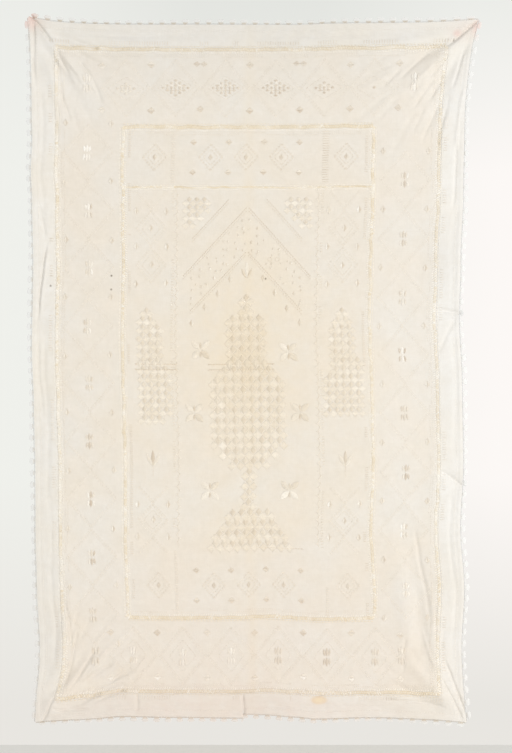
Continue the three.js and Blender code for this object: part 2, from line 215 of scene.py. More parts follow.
def edge_out(table, place):
    """Eased bulge of an edge, level past its ends."""
    at, out = np.array(table, dtype=float).T
    k = np.clip(np.searchsorted(at, place, side="right") - 1, 0, len(at) - 2)
    return out[k] + (out[k + 1] - out[k]) * rise(at[k], at[k + 1], place)


class Row:
    """A straight row between two flat places."""

    def __init__(self, x0, d0, x1, d1):
        self.x = x0
        self.down = d0
        self.length = math.hypot(x1 - x0, d1 - d0)
        self.way_x = (x1 - x0) / self.length
        self.way_d = (d1 - d0) / self.length

    def at(self, along, off=0.0):
        """Flat places along the row, moved sideways by off."""
        return (self.x + self.way_x * along - self.way_d * off,
                self.down + self.way_d * along + self.way_x * off)

    def seen_from(self, x, down):
        """How far along the row and off to its side places lie."""
        return ((x - self.x) * self.way_x + (down - self.down) * self.way_d,
                (x - self.x) * self.way_d - (down - self.down) * self.way_x)


def folds_lift(table, fade, x, down):
    """Sum of straight folds, each a soft ridge or trough that fades at its ends."""
    start, full, ebb, end = fade
    lift = np.zeros_like(x)
    for x0, d0, x1, d1, height, width in table:
        row = Row(x0, d0, x1, d1)
        along, off = row.seen_from(x, down)
        reach = along / row.length
        shape = rise(start, full, reach) * (1.0 - rise(ebb, end, reach))
        lift += height * shape * np.exp(-((off / width) ** 2))
    return lift


def fan_creases():
    """Slight creases that spread from the corners, each at its own slant and length."""
    rng = np.random.default_rng(FAN_SEED)
    made = []
    for side, corner, way, count in FANS:
        for k in range(count):
            slant = (k + rng.uniform(*FAN_SLANT)) / count * math.pi / 2
            start = rng.uniform(*FAN_START)
            end = start + rng.uniform(*FAN_LENGTH)
            lift = rng.uniform(*FAN_LIFT) * (1.0 if k % FAN_RIDGE_EVERY == 0 else -1.0)
            ends = [(side * (FAN_X - far * math.cos(slant)), corner + way * far * math.sin(slant))
                    for far in (start, end)]
            made.append((*ends[0], *ends[1], lift, rng.uniform(*FAN_WIDTH)))
    return tuple(made)


ALL_CREASES = CREASES + fan_creases()


def stray(place, other, waves):
    """How far a crease strays at a place."""
    length, across, fine, phase = waves
    return STRAY * np.sin(place / length + other / across) + STRAY_FINE * np.sin(place / fine + phase)


def lift_at(x, down):
    """How far the cloth stands out towards the viewer."""
    bent = (x + stray(down, x, STRAY_ACROSS), down + stray(x, down, STRAY_ALONG))
    lift = folds_lift(FOLDS, FOLD_FADE, x, down) + folds_lift(ALL_CREASES, CREASE_FADE, *bent)
    for bx, bd, across, tall, height in BILLOWS:
        lift += height * np.exp(-(((x - bx) / across) ** 2) - ((down - bd) / tall) ** 2)
    return lift


def join_drop(x, down):
    """The two lengths of the bottom border hang unevenly at their join."""
    share = np.maximum(0.0, (down - PANEL_BOTTOM) / BORDER_WIDTH)
    drop = np.where(x < JOIN_X, JOIN_LEFT_DROP, JOIN_RIGHT_DROP)
    return drop * share * np.exp(-np.abs(x - JOIN_X) / JOIN_REACH)


MOUNT_LIFT = float(lift_at(np.zeros(1), np.zeros(1))[0])


def hang(x, down):
    """Where flat places hang, in millimetres."""
    left = -edge_out(LEFT_EDGE, down)
    right = edge_out(RIGHT_EDGE, down)
    top = edge_out(TOP_EDGE, x)
    bottom = -edge_out(BOTTOM_EDGE, x)
    px = x + left + (right - left) * (x / CLOTH_WIDTH + 0.5)
    pz = -down + top + (bottom - top) * (down / CLOTH_HEIGHT) - join_drop(x, down)
    for side, end, out, up, reach in CORNER_PULLS:
        away = np.hypot(x - side * HALF_WIDTH, down - end * CLOTH_HEIGHT)
        pull = np.exp(-away / reach)
        px = px + side * out * pull
        pz = pz + up * pull
    for sx, sd, out, up, reach in SEAM_PULLS:
        pull = np.exp(-((x - sx) ** 2 + (down - sd) ** 2) / reach ** 2)
        px = px + out * pull
        pz = pz + up * pull
    return np.stack([px, MOUNT_LIFT - lift_at(x, down), pz], axis=-1)


def raised(x, down, height):
    """Places at a height over the hung cloth, towards the viewer, in metres."""
    across = hang(x + SLOPE_STEP, down) - hang(x - SLOPE_STEP, down)
    along = hang(x, down + SLOPE_STEP) - hang(x, down - SLOPE_STEP)
    normal = np.cross(along, across)
    normal /= np.linalg.norm(normal, axis=-1, keepdims=True)
    return (hang(x, down) + normal * height[..., None]) * MM


# Meshes
def add_object(name, data):
    """A new object in the scene."""
    made = bpy.data.objects.new(name, data)
    bpy.context.scene.collection.objects.link(made)
    return made


def make_piece(name, places, faces, flat, material, tint=None, smooth=True):
    """One mesh piece with its flat places as the texture map."""
    mesh = bpy.data.meshes.new(name)
    mesh.from_pydata(places.tolist(), [], faces)
    corner = np.empty(len(mesh.loops), dtype=np.int32)
    mesh.loops.foreach_get("vertex_index", corner)
    layer = mesh.uv_layers.new(name=FLAT_MAP)
    layer.data.foreach_set("uv", (flat[corner] * MM).astype(np.float32).ravel())
    if tint is not None:
        attribute = mesh.attributes.new(TINT, "FLOAT", "POINT")
        attribute.data.foreach_set("value", tint.astype(np.float32))
    mesh.polygons.foreach_set("use_smooth", np.array(np.broadcast_to(smooth, len(mesh.polygons))))
    mesh.materials.append(material)
    piece = add_object(name, mesh)
    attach(piece, BODY)
    return piece


def grid_faces(columns, rows):
    """Quads of a grid whose points run column by column, front side to the viewer."""
    i, j = np.meshgrid(np.arange(columns - 1), np.arange(rows - 1), indexing="ij")
    a = (i * rows + j).ravel()
    return np.stack([a, a + 1, a + rows + 1, a + rows], axis=1).tolist()


def steps(start, end, cell):
    """Evenly spaced places from start to end, about one cell apart."""
    return np.linspace(start, end, max(2, round(abs(end - start) / cell)) + 1)


def make_sheet(name, x, down, height, material):
    """A thin sheet of cloth from a grid of flat places."""
    flat = np.stack([x.ravel(), -down.ravel()], axis=1)
    places = raised(x.ravel(), down.ravel(), height.ravel())
    return make_piece(name, places, grid_faces(*x.shape), flat, material)


def graded(start, end, reach):
    """Places from start to end, closer together within reach of both ends."""
    first = steps(start, start + reach, PANEL_FINE_CELL)
    middle = steps(start + reach, end - reach, PANEL_CELL)
    last = steps(end - reach, end, PANEL_FINE_CELL)
    return np.concatenate([first[:-1], middle[:-1], last])


def panel_sheet(material):
    """The embroidered panel."""
    across = graded(-PANEL_HALF, PANEL_HALF, PANEL_FINE_ACROSS)
    along = graded(PANEL_TOP, PANEL_BOTTOM, PANEL_FINE_DOWN)
    x, down = np.meshgrid(across, along, indexing="ij")
    return make_sheet("panel_cloth", x, down, np.zeros_like(x), material)


def border_profile(inset):
    """Height across a border: a hem at the outer edge, a lap under the panel at the inner one."""
    hem = HEM_RISE * (1.0 - rise(HEM_WIDTH - HEM_EASE, HEM_WIDTH, inset))
    return hem - LAP_DEPTH * rise(BORDER_WIDTH - LAP_EASE, BORDER_WIDTH, inset)


class EdgeRun:
    """One edge of the cloth, or one length of it: flat places along it and outward from it."""

    def __init__(self, index, edge, start, end):
        self.index = index
        self.edge = edge
        self.start = start
        self.end = end
        self.level = edge in ("top", "bottom")

    def flat(self, along, out):
        """Flat place at a distance along the edge and out from it."""
        if self.edge == "top":
            return along, -out
        if self.edge == "bottom":
            return along, CLOTH_HEIGHT + out
        if self.edge == "left":
            return -HALF_WIDTH - out, along
        return HALF_WIDTH + out, along

    def span(self, inset, clear=0.0):
        """Start and end of the run at an inset from the edge, inside the mitres and clear of the join."""
        low = self.start + (inset if self.start in (-HALF_WIDTH, 0.0) else clear)
        high = self.end - (inset if self.end in (HALF_WIDTH, CLOTH_HEIGHT) else clear)
        return low, high

    def row(self, inset):
        """Ends of a row at an inset from the edge."""
        low, high = self.span(inset, JOIN_CLEARANCE)
        return (*self.flat(low, -inset), *self.flat(high, -inset))

    def picots(self):
        """Places and lengths of its picots, as in the solids."""
        across = (-HALF_WIDTH, CLOTH_WIDTH, PICOTS_ACROSS)
        first, size, count = across if self.level else (0.0, CLOTH_HEIGHT, PICOTS_DOWN)
        at = first + (np.arange(count) + 0.5) * (size / count)
        at = at[(at > self.start + JOIN_CLEARANCE) & (at < self.end - JOIN_CLEARANCE)]
        turn, shift = PICOT_SCATTER
        phase = turn * np.arange(len(at))
        slid = at + PICOT_SLIDE * np.sin(phase + shift * self.index)
        return slid, PICOT_LENGTH * (1.0 + PICOT_VARY * np.sin(phase + shift * (self.index + 0.5)))


def border_sheet(name, run, material):
    """A border strip, mitred where it reaches a corner of the cloth."""
    inset = steps(0.0, BORDER_WIDTH + LAP, BORDER_CELL_ACROSS)
    share = steps(0.0, 1.0, BORDER_CELL / (run.end - run.start))
    if run.edge in ("bottom", "right"):
        inset = inset[::-1]
    if run.level:
        share, inset = np.meshgrid(share, inset, indexing="ij")
    else:
        inset, share = np.meshgrid(inset, share, indexing="ij")
    low, high = run.span(inset)
    x, down = run.flat(low + (high - low) * share, -inset)
    return make_sheet(name, x, down, border_profile(inset), material)


# Template of a stitch: a point, two rings of four and a point, each place along, across and high
STITCH_RING = ((-1, 0), (0, 1), (1, 0), (0, -1))
STITCH_POINTS = np.array(
    [(0, 0, 0)] + [(s, t, h) for s in (TAPER, 1 - TAPER) for t, h in STITCH_RING] + [(1, 0, 0)], dtype=float)
STITCH_TURN = [(k, (k + 1) % 4) for k in range(4)]
STITCH_FACES = (
    [(0, 1 + n, 1 + k) for k, n in STITCH_TURN]
    + [(9, 5 + k, 5 + n) for k, n in STITCH_TURN]
    + [(1 + k, 1 + n, 5 + n, 5 + k) for k, n in STITCH_TURN]
)


# Stitches
class Needlework:
    """Stitches in flat millimetres, worked through the cloth so that both faces show them."""

    def __init__(self, name):
        self.name = name
        self.rows = []

    def sew(self, x0, d0, x1, d1, width=THREAD_WIDTH, tint=CREAM, height=THREAD_HEIGHT):
        """Add stitches from start places to end places; each value may be a list."""
        values = np.broadcast_arrays(x0, d0, x1, d1, width, tint, height)
        self.rows.append(np.stack(values, axis=1))

    def build(self, material):
        """Join all the stitches into one mesh piece."""
        rows = np.concatenate(self.rows)
        start = rows[:, 0:2]
        run = rows[:, 2:4] - start
        length = np.maximum(np.linalg.norm(run, axis=1), LEAST_STITCH)
        side = np.stack([-run[:, 1], run[:, 0]], axis=1) / length[:, None]
        width = rows[:, 4]
        tint = np.clip(rows[:, 5] + RNG.normal(0.0, TINT_JITTER / 2, len(rows)), 0.0, 1.0)
        s, t, h = STITCH_POINTS.T
        flat = (
            start[:, None, :]
            + s[None, :, None] * run[:, None, :]
            + (t[None, :, None] * 0.5 * width[:, None, None]) * side[:, None, :]
        ).reshape(-1, 2)
        height = (h[None, :] * (width * rows[:, 6])[:, None]).ravel()
        places = raised(flat[:, 0], flat[:, 1], height)
        flat[:, 1] *= -1.0
        faces = []
        size = len(STITCH_POINTS)
        base = np.arange(len(rows)) * size
        for corners in STITCH_FACES:
            faces.extend(np.stack([base + c for c in corners], axis=1).tolist())
        return make_piece(self.name, places, faces, flat, material, np.repeat(tint, size))


def near(tint):
    """A tint with its own small change, as from one length of silk to the next."""
    return float(np.clip(tint + RNG.normal(0.0, TINT_JITTER), 0.0, 1.0))


def faded(least, *tints):
    """Tints moved part of the way to a worn one, all by the same share; least is the share kept at least."""
    kept = min(1.0, least + float(RNG.uniform(0.0, FADE_SPREAD)))
    return [near(WORN + (tint - WORN) * kept) for tint in tints]


def placed(value):
    """A place a little off its mark, as hand work is."""
    return value + float(RNG.normal(0.0, PLACE_JITTER))


def wander(place, step, low, high):
    """Values that drift along a line, with one free value to each step."""
    knots = np.arange(place.min(), place.max() + 2.0 * step, step)
    return np.interp(place, knots, RNG.uniform(low, high, len(knots)))


def diamond(half, tall):
    """Places of the threads across a diamond, and how far each one reaches."""
    offset = np.arange(-half + THREAD_PITCH / 2, half, THREAD_PITCH)
    return offset, tall * (1.0 - np.abs(offset) / half)


def satin(work, x, down, wide, tall, upper, lower):
    """A satin diamond in an upper and a lower half; their two tints are painted sheen, one half lit and one
    shaded, over the silk's own colour.
    """
    offset, reach = diamond(wide, tall)
    for way, tint in ((-1, upper), (1, lower)):
        work.sew(x + offset, down, x + offset + SATIN_SLANT * reach, down + way * reach, tint=near(tint))


def satin_sideways(work, x, down, wide, tall, left, right):
    """A satin diamond in a left and a right half; their two tints are painted sheen, one half lit and one
    shaded, over the silk's own colour.
    """
    offset, reach = diamond(tall, wide)
    for way, tint in ((-1, left), (1, right)):
        work.sew(x, down + offset, x + way * reach, down + offset + SATIN_SLANT * reach, tint=near(tint))


def satin_plain(work, x, down, wide, tall, tint, level):
    """A satin diamond worked in one direction, level or upright."""
    tone = near(tint)
    if level:
        offset, reach = diamond(tall, wide)
        work.sew(x - reach, down + offset, x + reach, down + offset, tint=tone)
    else:
        offset, reach = diamond(wide, tall)
        work.sew(x + offset, down - reach, x + offset, down + reach, tint=tone)


def leaf(work, x0, d0, x1, d1, wide, tint):
    """A pointed satin leaf, its threads lying across it."""
    row = Row(x0, d0, x1, d1)
    place = np.arange(THREAD_PITCH / 2, row.length, THREAD_PITCH)
    half = wide * np.sin(np.pi * place / row.length) ** LEAF_FULLNESS
    work.sew(*row.at(place, half), *row.at(place, -half), tint=near(tint))


# Kinds of running stitch: length of a stitch, gap, width
RUNNING = (4.6, 2.0, 1.3)
PLAIT_RUN = (5.0, 2.4, 1.7)
GABLE_RUN = (3.6, 1.6, 2.1)
GABLE_FINE_RUN = (3.6, 2.2, 1.6)
NICHE_RUN = (5.0, 1.2, 2.0)
HEM_RUN = (3.4, 2.6, 1.2)


def line(work, x0, d0, x1, d1, tint, kind=RUNNING, shift=0.0, height=THREAD_HEIGHT):
    """A row of running stitches, moved sideways by shift."""
    stitch, gap, width = kind
    row = Row(x0, d0, x1, d1)
    count = max(1, int(row.length // (stitch + gap)))
    pitch = row.length / count
    begin = np.arange(count) * pitch + gap / 2
    work.sew(*row.at(begin, shift), *row.at(begin + pitch - gap, shift), width, near(tint), height)


# Kinds of drawn-thread bars: half length of a bar, pitch, width
TICKS = (1.6, 5.0, 1.6)
LONG_TICKS = (3.6, 5.0, 1.6)
HEAD_BARS = (5.0, 5.4, 1.6)
HEAD_LONG_BARS = (8.0, 5.4, 1.6)
FOOT_BARS = (4.0, 5.0, 1.6)
NICHE_BARS = (3.0, 6.2, 1.8)
HEM_BARS = (4.5, 5.6, 1.6)


def bars(work, x0, d0, x1, d1, kind, tint, worn, shift=0.0):
    """A ladder of short bars across a line, as drawn threads leave them; worn is the share that is gone.
    Their darker tint paints the shade of the open holes as well as the thread's colour.
    """
    half, pitch, width = kind
    row = Row(x0, d0, x1, d1)
    place = np.arange(pitch / 2, row.length, pitch)
    place = place[wander(place, WEAR_STEP, 0.0, 1.0) >= worn]
    tone = tint + RNG.normal(0.0, TINT_JITTER, len(place))
    work.sew(*row.at(place, shift - half), *row.at(place, shift + half), width, tone)


# Plaited lines: half width, and tint from ochre at 0 to ivory at 1
LEVEL_LINE = (4.4, 0.26)
UPRIGHT_LINE = (3.8, 0.58)
WORN_LINE = (3.8, 0.72)
FINE_LINE = (1.8, 0.56)
# Their pitch, and how they sway and change tint: step, least, most
PLAIT_PITCH = 5.2
FINE_PITCH = 4.4
PLAIT_THREAD = 1.9
PLAIT_SWAY = (16.0, -1.6, 1.6)
PLAIT_DRIFT = (21.0, -0.26, 0.4)
PLAIT_JITTER = 0.22
# Ivory stitches on the inner side of a plaited line, and the row on its outer side
PALE_TINT = 0.9
PALE_THREAD = 1.8
PALE_GAP = 0.5
PALE_REACH = (2.4, 5.2)
PALE_SLANT = 2.3
PALE_JITTER = 0.1
PLAIT_RUN_GAP = 2.4
PLAIT_RUN_PALER = 0.25


def plait(work, x0, d0, x1, d1, inner, half, tint, pitch=PLAIT_PITCH):
    """A plaited line, worn in places: ochre zigzags that cross, with ivory stitches on its inner side.

    inner is 1 where that side lies to the right of the way the line runs, or else -1.
    """
    row = Row(x0, d0, x1, d1)
    count = max(2, int(row.length // pitch))
    knot = np.linspace(0.0, row.length, count + 1)
    sway = wander(knot, *PLAIT_SWAY)
    tone = tint + wander(knot, *PLAIT_DRIFT)
    zigzag = np.where(np.arange(count + 1) % 2 == 0, half, -half)
    for sign in (1.0, -1.0):
        x, down = row.at(knot, sway + sign * zigzag)
        tones = tone[:-1] + RNG.normal(0.0, PLAIT_JITTER, count)
        work.sew(x[:-1], down[:-1], x[1:], down[1:], PLAIT_THREAD, tones)
    start = sway + inner * (half + PALE_GAP)
    finish = start + inner * RNG.uniform(*PALE_REACH, count + 1)
    pale = PALE_TINT + RNG.normal(0.0, PALE_JITTER, count + 1)
    work.sew(*row.at(knot, start), *row.at(knot + PALE_SLANT, finish), PALE_THREAD, pale)
    line(work, x0, d0, x1, d1, tint + PLAIT_RUN_PALER, PLAIT_RUN, -inner * (half + PLAIT_RUN_GAP))


# Sides of a lozenge, clockwise from its top
ALL_SIDES = (0, 1, 2, 3)
UPPER_SIDES = (0, 3)
LOWER_SIDES = (1, 2)


def lozenge(work, x, down, wide, tall, tint=LINE, doubled=0.0, sides=ALL_SIDES):
    """A lozenge outline in running stitch, or in two rows set apart by doubled."""
    corners = ((x, down - tall), (x + wide, down), (x, down + tall), (x - wide, down))
    for k in sides:
        ends = (*corners[k], *corners[(k + 1) % 4])
        line(work, *ends, tint)
        if doubled:
            line(work, *ends, tint, shift=doubled)


# Petal crosses: start, reach and width of a petal, and of a dark leaf, whose dark silk paints the shade
# between the petals
PETAL = (1.5, 20.0, 7.4)
SHADE_LEAF = (4.0, 17.0, 2.6)


def petal_cross(work, x, down, tints):
    """Four fat petals on the diagonals, with a narrow dark leaf above and below that paints the shade
    between the petals.
    """
    start, reach, wide = PETAL
    for (sx, sd), tint in zip(((-1, -1), (1, -1), (1, 1), (-1, 1)), tints):
        leaf(work, x + sx * start, down + sd * start, x + sx * reach, down + sd * reach, wide, tint)
    start, reach, wide = SHADE_LEAF
    for side in (-1, 1):
        leaf(work, x, down + side * start, x, down + side * reach, wide, BUFF)


# Buds: start and width of a middle leaf, then start, tip (x, share of the height) and width of a side one
BUD_LEAF = (1.0, 3.8)
BUD_SIDE = (5.0, 2.5, 7.0, 0.86, 3.0)
BUD_DARKER = 0.12


def bud(work, x, down, tall, heart, left, right):
    """An upper and a lower bud, each a leaf between two narrower ones."""
    begin, wide = BUD_LEAF
    start_x, start_d, tip_x, tip_share, side_wide = BUD_SIDE
    for end, tint in ((-1, heart), (1, heart - BUD_DARKER)):
        leaf(work, x, down + end * begin, x, down + end * tall, wide, tint)
        tip_d = down + end * tall * tip_share
        for side, side_tint in ((-1, left), (1, right)):
            start = (x + side * start_x, down + end * start_d)
            leaf(work, *start, x + side * tip_x, tip_d, side_wide, side_tint)


# Cells on a grid: share of the pitch that a cell fills, and the smaller size of the dark ones
CHECK_FILL = 0.48
CHECK_DARK_SIZE = (0.84, 0.76)


def checker(work, x, down, rows, pitch):
    """Satin diamonds on a grid, dark level ones with light upright ones between; the dark and light tints
    are painted sheen of the two thread directions.

    Each row is a pair: its first column, counted from x in cells, and how many stand in it.
    """
    pitch_x, pitch_d = pitch
    wide = pitch_x * CHECK_FILL
    tall = pitch_d * CHECK_FILL
    dark_wide, dark_tall = CHECK_DARK_SIZE
    for r, (first, count) in enumerate(rows):
        middle = down + r * pitch_d
        left = x + first * pitch_x
        for k in range(count):
            cx = left + k * pitch_x
            satin_plain(work, cx, middle, wide * dark_wide, tall * dark_tall, CHECK_DARK, True)
            satin_plain(work, cx + pitch_x / 2, middle + pitch_d / 2, wide, tall, CHECK_LIGHT, False)
        satin_plain(work, left - pitch_x / 2, middle + pitch_d / 2, wide, tall, CHECK_LIGHT, False)


# Drawn-thread rows beside the frames: kind of bars, tint, share worn away, distances from the line
FRAME_ROWS = (TICKS, STRAW, 0.35, (12.0, 17.0))
INNER_ROWS = (LONG_TICKS, BUFF, 0.55, (15.0,))


# Layout
def frame_lines(work, drawn):
    """The outer and inner plaited frames with their drawn-thread rows."""
    edge = PANEL_HALF - OUTER_LINE_INSET
    top = PANEL_TOP + OUTER_LINE_INSET
    bottom = PANEL_BOTTOM - OUTER_LINE_INSET
    for half, high, low in ((edge, top, bottom), (FRAME_X, FRAME_TOP, FRAME_BOTTOM)):
        runs = ((-half, high, half, high, 1), (-half, low, half, low, -1),
                (-half, high, -half, low, -1), (half, high, half, low, 1))
        for *ends, inner in runs:
            upright = ends[0] == ends[2]
            ochre = UPRIGHT_LINE if upright else LEVEL_LINE
            if upright and ends[0] == -edge:
                ochre = WORN_LINE
            plait(work, *ends, inner, *ochre)
            kind, tint, worn, shifts = INNER_ROWS if upright and half == FRAME_X else FRAME_ROWS
            for shift in shifts:
                bars(drawn, *ends, kind, tint, worn, inner * shift)
    plait(work, -FRAME_X, NICHE_TOP, FRAME_X, NICHE_TOP, 1, *FINE_LINE, FINE_PITCH)


# Bands above and below the frame: lozenges in a row, with small diamonds above and below where they meet
BAND_TOP = 142.0
BAND_BOTTOM = 1421.0
TOP_MIDDLE = 4.0
BOTTOM_MIDDLE = 9.0
BAND_COUNT = 6
BAND_PITCH = 110.5
BAND_TALL = 66.0
BAND_DOUBLED = 4.0
BAND_SMALL = (8.5, 8.5)
SMALL_ABOVE = -52.0
SMALL_BELOW = 48.0
# Eyes of the top band: share of their tint kept at least, rows of cells on either side of the middle one
TOP_EYES = ((0.1, 2), (0.9, 3), (0.7, 3), (0.7, 3), (0.7, 2), (1.0, 0))
TOP_SMALL_KEPT = (0.1, 0.8, 0.9, 0.9, 0.9, 0.8, 0.1)
EYE_PITCH = (9.2, 5.6)
EYE_CELL = (4.9, 3.2)
EYE_LOZENGE = (41.0, 26.0)
# Pairs of small diamonds in the top band: which places, how far up, half the distance apart, size
TWINS = (2, 4)
TWIN_ABOVE = -54.0
TWIN_APART = 8.0
TWIN_SIZE = (8.0, 6.5)
TWIN_PALER = 0.1
# Buds of the bottom band: tint of the middle leaf, tint of the others; the silk's colour with painted sheen,
# brighter where a bud catches the light
BOTTOM_BUDS = ((0.66, 0.58), (0.82, 0.62), (0.86, 0.66), (0.52, 0.4), (0.3, 0.22), (0.46, 0.4))
BOTTOM_SMALL_KEPT = (0.2, 0.7, 0.1, 0.2, 0.9, 0.2, 0.1)
BOTTOM_LOW_KEPT = 0.4
BOTTOM_BUD_TALL = 21.0
BOTTOM_BUD_LOZENGE = (30.0, 36.0)


def eye(lines, satins, x, down, least, rows):
    """A wide lozenge of small satin cells, darker in its lower half, with an outline round it."""
    pitch_x, pitch_d = EYE_PITCH
    upper_dark, upper_pale, lower_dark, lower_pale = faded(least, BUFF, CREAM, EYE_DARK, STRAW)
    for row in range(-rows, rows + 1):
        count = 2 * (rows - abs(row)) + 1
        dark, pale = (upper_dark, upper_pale) if row < 0 else (lower_dark, lower_pale)
        for k in range(count):
            cell_x = x + (k - (count - 1) / 2) * pitch_x
            tint = dark if k % 2 == 0 else pale
            satin_plain(satins, cell_x, down + row * pitch_d, *EYE_CELL, tint, row % 2 == 0)
    lozenge(lines, x, down, *EYE_LOZENGE)


def band_lozenges(lines, down, middle):
    """A row of lozenges across the panel; returns their places."""
    places = [placed(middle + (k - (BAND_COUNT - 1) / 2) * BAND_PITCH) for k in range(BAND_COUNT)]
    for x in places:
        lozenge(lines, x, down, BAND_PITCH / 2, BAND_TALL, doubled=BAND_DOUBLED)
    return places


def top_band(lines, satins):
    """The band above the frame: an eye in each lozenge, small diamonds between them."""
    for x, (least, rows) in zip(band_lozenges(lines, BAND_TOP, TOP_MIDDLE), TOP_EYES):
        eye(lines, satins, x, placed(BAND_TOP), least, rows)
    for k, least in enumerate(TOP_SMALL_KEPT):
        x = placed(TOP_MIDDLE + (k - BAND_COUNT / 2) * BAND_PITCH)
        if k in TWINS:
            down = placed(BAND_TOP + TWIN_ABOVE)
            for side in (-1, 1):
                satin(satins, x + side * TWIN_APART, down, *TWIN_SIZE, BUFF, BUFF + TWIN_PALER)
        else:
            satin(satins, x, placed(BAND_TOP + SMALL_ABOVE), *BAND_SMALL, *faded(least, STRAW, BUFF))
        satin(satins, x, placed(BAND_TOP + SMALL_BELOW), *BAND_SMALL, *faded(least, STRAW, BUFF))


def bottom_band(lines, satins):
    """The band below the frame: a pair of buds in each lozenge, small diamonds between them."""
    for x, (heart, side) in zip(band_lozenges(lines, BAND_BOTTOM, BOTTOM_MIDDLE), BOTTOM_BUDS):
        bud(satins, x, placed(BAND_BOTTOM), BOTTOM_BUD_TALL, heart, side, side)
        lozenge(lines, x, BAND_BOTTOM, *BOTTOM_BUD_LOZENGE)
    for k, least in enumerate(BOTTOM_SMALL_KEPT):
        x = placed(BOTTOM_MIDDLE + (k - BAND_COUNT / 2) * BAND_PITCH)
        satin(satins, x, placed(BAND_BOTTOM + SMALL_ABOVE), *BAND_SMALL, *faded(least, STRAW, BUFF))
        tints = (BOTTOM_LOW_KEPT, CREAM, IVORY)
        satin(satins, x, placed(BAND_BOTTOM + SMALL_BELOW), *BAND_SMALL, *faded(*tints))


# Side bands: x, down of the first lozenge, pitch
LEFT_BAND = (-357.0, 288.0, 130.2)
RIGHT_BAND = (353.0, 351.0, 131.0)
SIDE_WIDE = 58.0
SIDE_BUD_TALL = 18.0
SIDE_BUD_KEPT = 0.8
SIDE_SMALL_X = 51.0
SIDE_SMALL = (6.5, 8.0)
SIDE_SMALL_KEPT = 0.3
# Their buds, from the top: tint of the middle leaf, tint of the left ones, tint of the right ones; the
# silk's colour with painted sheen, lighter where a bud catches the light and darker where it does not
LEFT_BUDS = ((IVORY, PALE, PALE), (PALE, PALE, BUFF), (CREAM, STRAW, IVORY), (WORN, WORN, CREAM),
             (WORN, WORN, STRAW), (BUFF, STRAW, STRAW), (BUFF, IVORY, CREAM), (STRAW, WORN, BUFF),
             (LINE, LINE, STRAW))
RIGHT_BUDS = ((BUFF, CREAM, PALE), (BUFF, WORN, STRAW), (PALE, STRAW, STRAW), (PALE, BUFF, BUFF),
              (CREAM, STRAW, STRAW), (BUFF, WORN, STRAW), (PALE, IVORY, STRAW), (CREAM, IVORY, PALE))
# Buds in the corners: x, down, tint of the middle leaf, tint of the others
CORNER_BUDS = ((-360, 132, PALE, CREAM), (367, 132, PALE, CREAM), (-356, 1420, CREAM, STRAW),
               (346, 1418, WORN, WORN))
CORNER_BUD_TALL = 22.0


def side_band(lines, satins, band, buds):
    """A band of lozenges down one side, a pair of buds in each."""
    x, first, pitch = band
    for k, tints in enumerate(buds):
        down = placed(first + k * pitch)
        lozenge(lines, x, down, SIDE_WIDE, pitch / 2, doubled=BAND_DOUBLED)
        bud(satins, placed(x), down, SIDE_BUD_TALL, *faded(SIDE_BUD_KEPT, *tints))
    for k in range(len(buds) + 1):
        down = first + (k - 0.5) * pitch
        for side in (-1, 1):
            satin_sideways(satins, placed(x + side * SIDE_SMALL_X), placed(down), *SIDE_SMALL,
                           *faded(SIDE_SMALL_KEPT, CREAM, BUFF))


# Rows of nested lozenges inside the frame: down, half width, half height, tint
NEST_ROWS = ((297.0, 28.0, 31.0, 0.28), (1262.0, 27.0, 30.0, 0.38))
NEST_MIDDLE = -4.0
NEST_PITCH = 79.0
NEST_ENDS = (-208.0, 220.0)
NEST_DOUBLED = 2.4
NEST_INNER = 0.58
NEST_HEART = (5.5, 7.0)
NEST_SMALL = (7.5, 7.5)
NEST_SMALL_OFF = 34.0
# Ladders that divide those rows: x, kind of bars and tint in the upper one
LADDERS = ((-167.0, HEAD_BARS, STRAW), (174.0, HEAD_LONG_BARS, BUFF))
LADDER_GAP = 8.0
NICHE_GAP = 6.0
HEAD_WORN = 0.15
FOOT_WORN = 0.3


def nested_row(lines, satins, down, wide, tall, tint):
    """A row of nested lozenges, with small diamonds above and below the places between them."""
    for x in (*(NEST_MIDDLE + NEST_PITCH * k for k in (-1, 0, 1)), *NEST_ENDS):
        lozenge(lines, x, down, wide, tall, tint, NEST_DOUBLED)
        lozenge(lines, x, down, wide * NEST_INNER, tall * NEST_INNER, tint)
        satin_sideways(satins, x, down, *NEST_HEART, BUFF, STRAW)
    for k in (-1.5, -0.5, 0.5, 1.5):
        x = NEST_MIDDLE + NEST_PITCH * k
        for side in (-1, 1):
            satin(satins, x, down + side * NEST_SMALL_OFF, *NEST_SMALL, near(STRAW), BUFF)


def ladders(drawn):
    """The drawn-thread ladders across the head and the foot of the frame."""
    for x, kind, tint in LADDERS:
        bars(drawn, x, FRAME_TOP + LADDER_GAP, x, NICHE_TOP - NICHE_GAP, kind, tint, HEAD_WORN)
        bars(drawn, x, NICHE_BASE + LADDER_GAP, x, FRAME_BOTTOM - LADDER_GAP, FOOT_BARS, STRAW, FOOT_WORN)


# Strips beside the niche
STRIP_X = 217.0
# Their lozenges: down, half height, sides that are worked
STRIP_LOZENGES = ((376, 41, LOWER_SIDES), (458, 41, ALL_SIDES), (541, 41, ALL_SIDES),
                  (1041, 37, LOWER_SIDES), (1115, 37, ALL_SIDES), (1189, 37, UPPER_SIDES))
STRIP_WIDE = 35.0
STRIP_DOUBLED = 3.5
STRIP_INNER = 0.6
STRIP_HEART = (6.0, 8.0)
# Pairs of small diamonds where those lozenges meet
STRIP_PAIRS = (417, 499, 582, 1078, 1152)
STRIP_PAIR_X = 34.0
STRIP_SMALL = (6.5, 8.5)
STRIP_SMALL_KEPT = 0.4
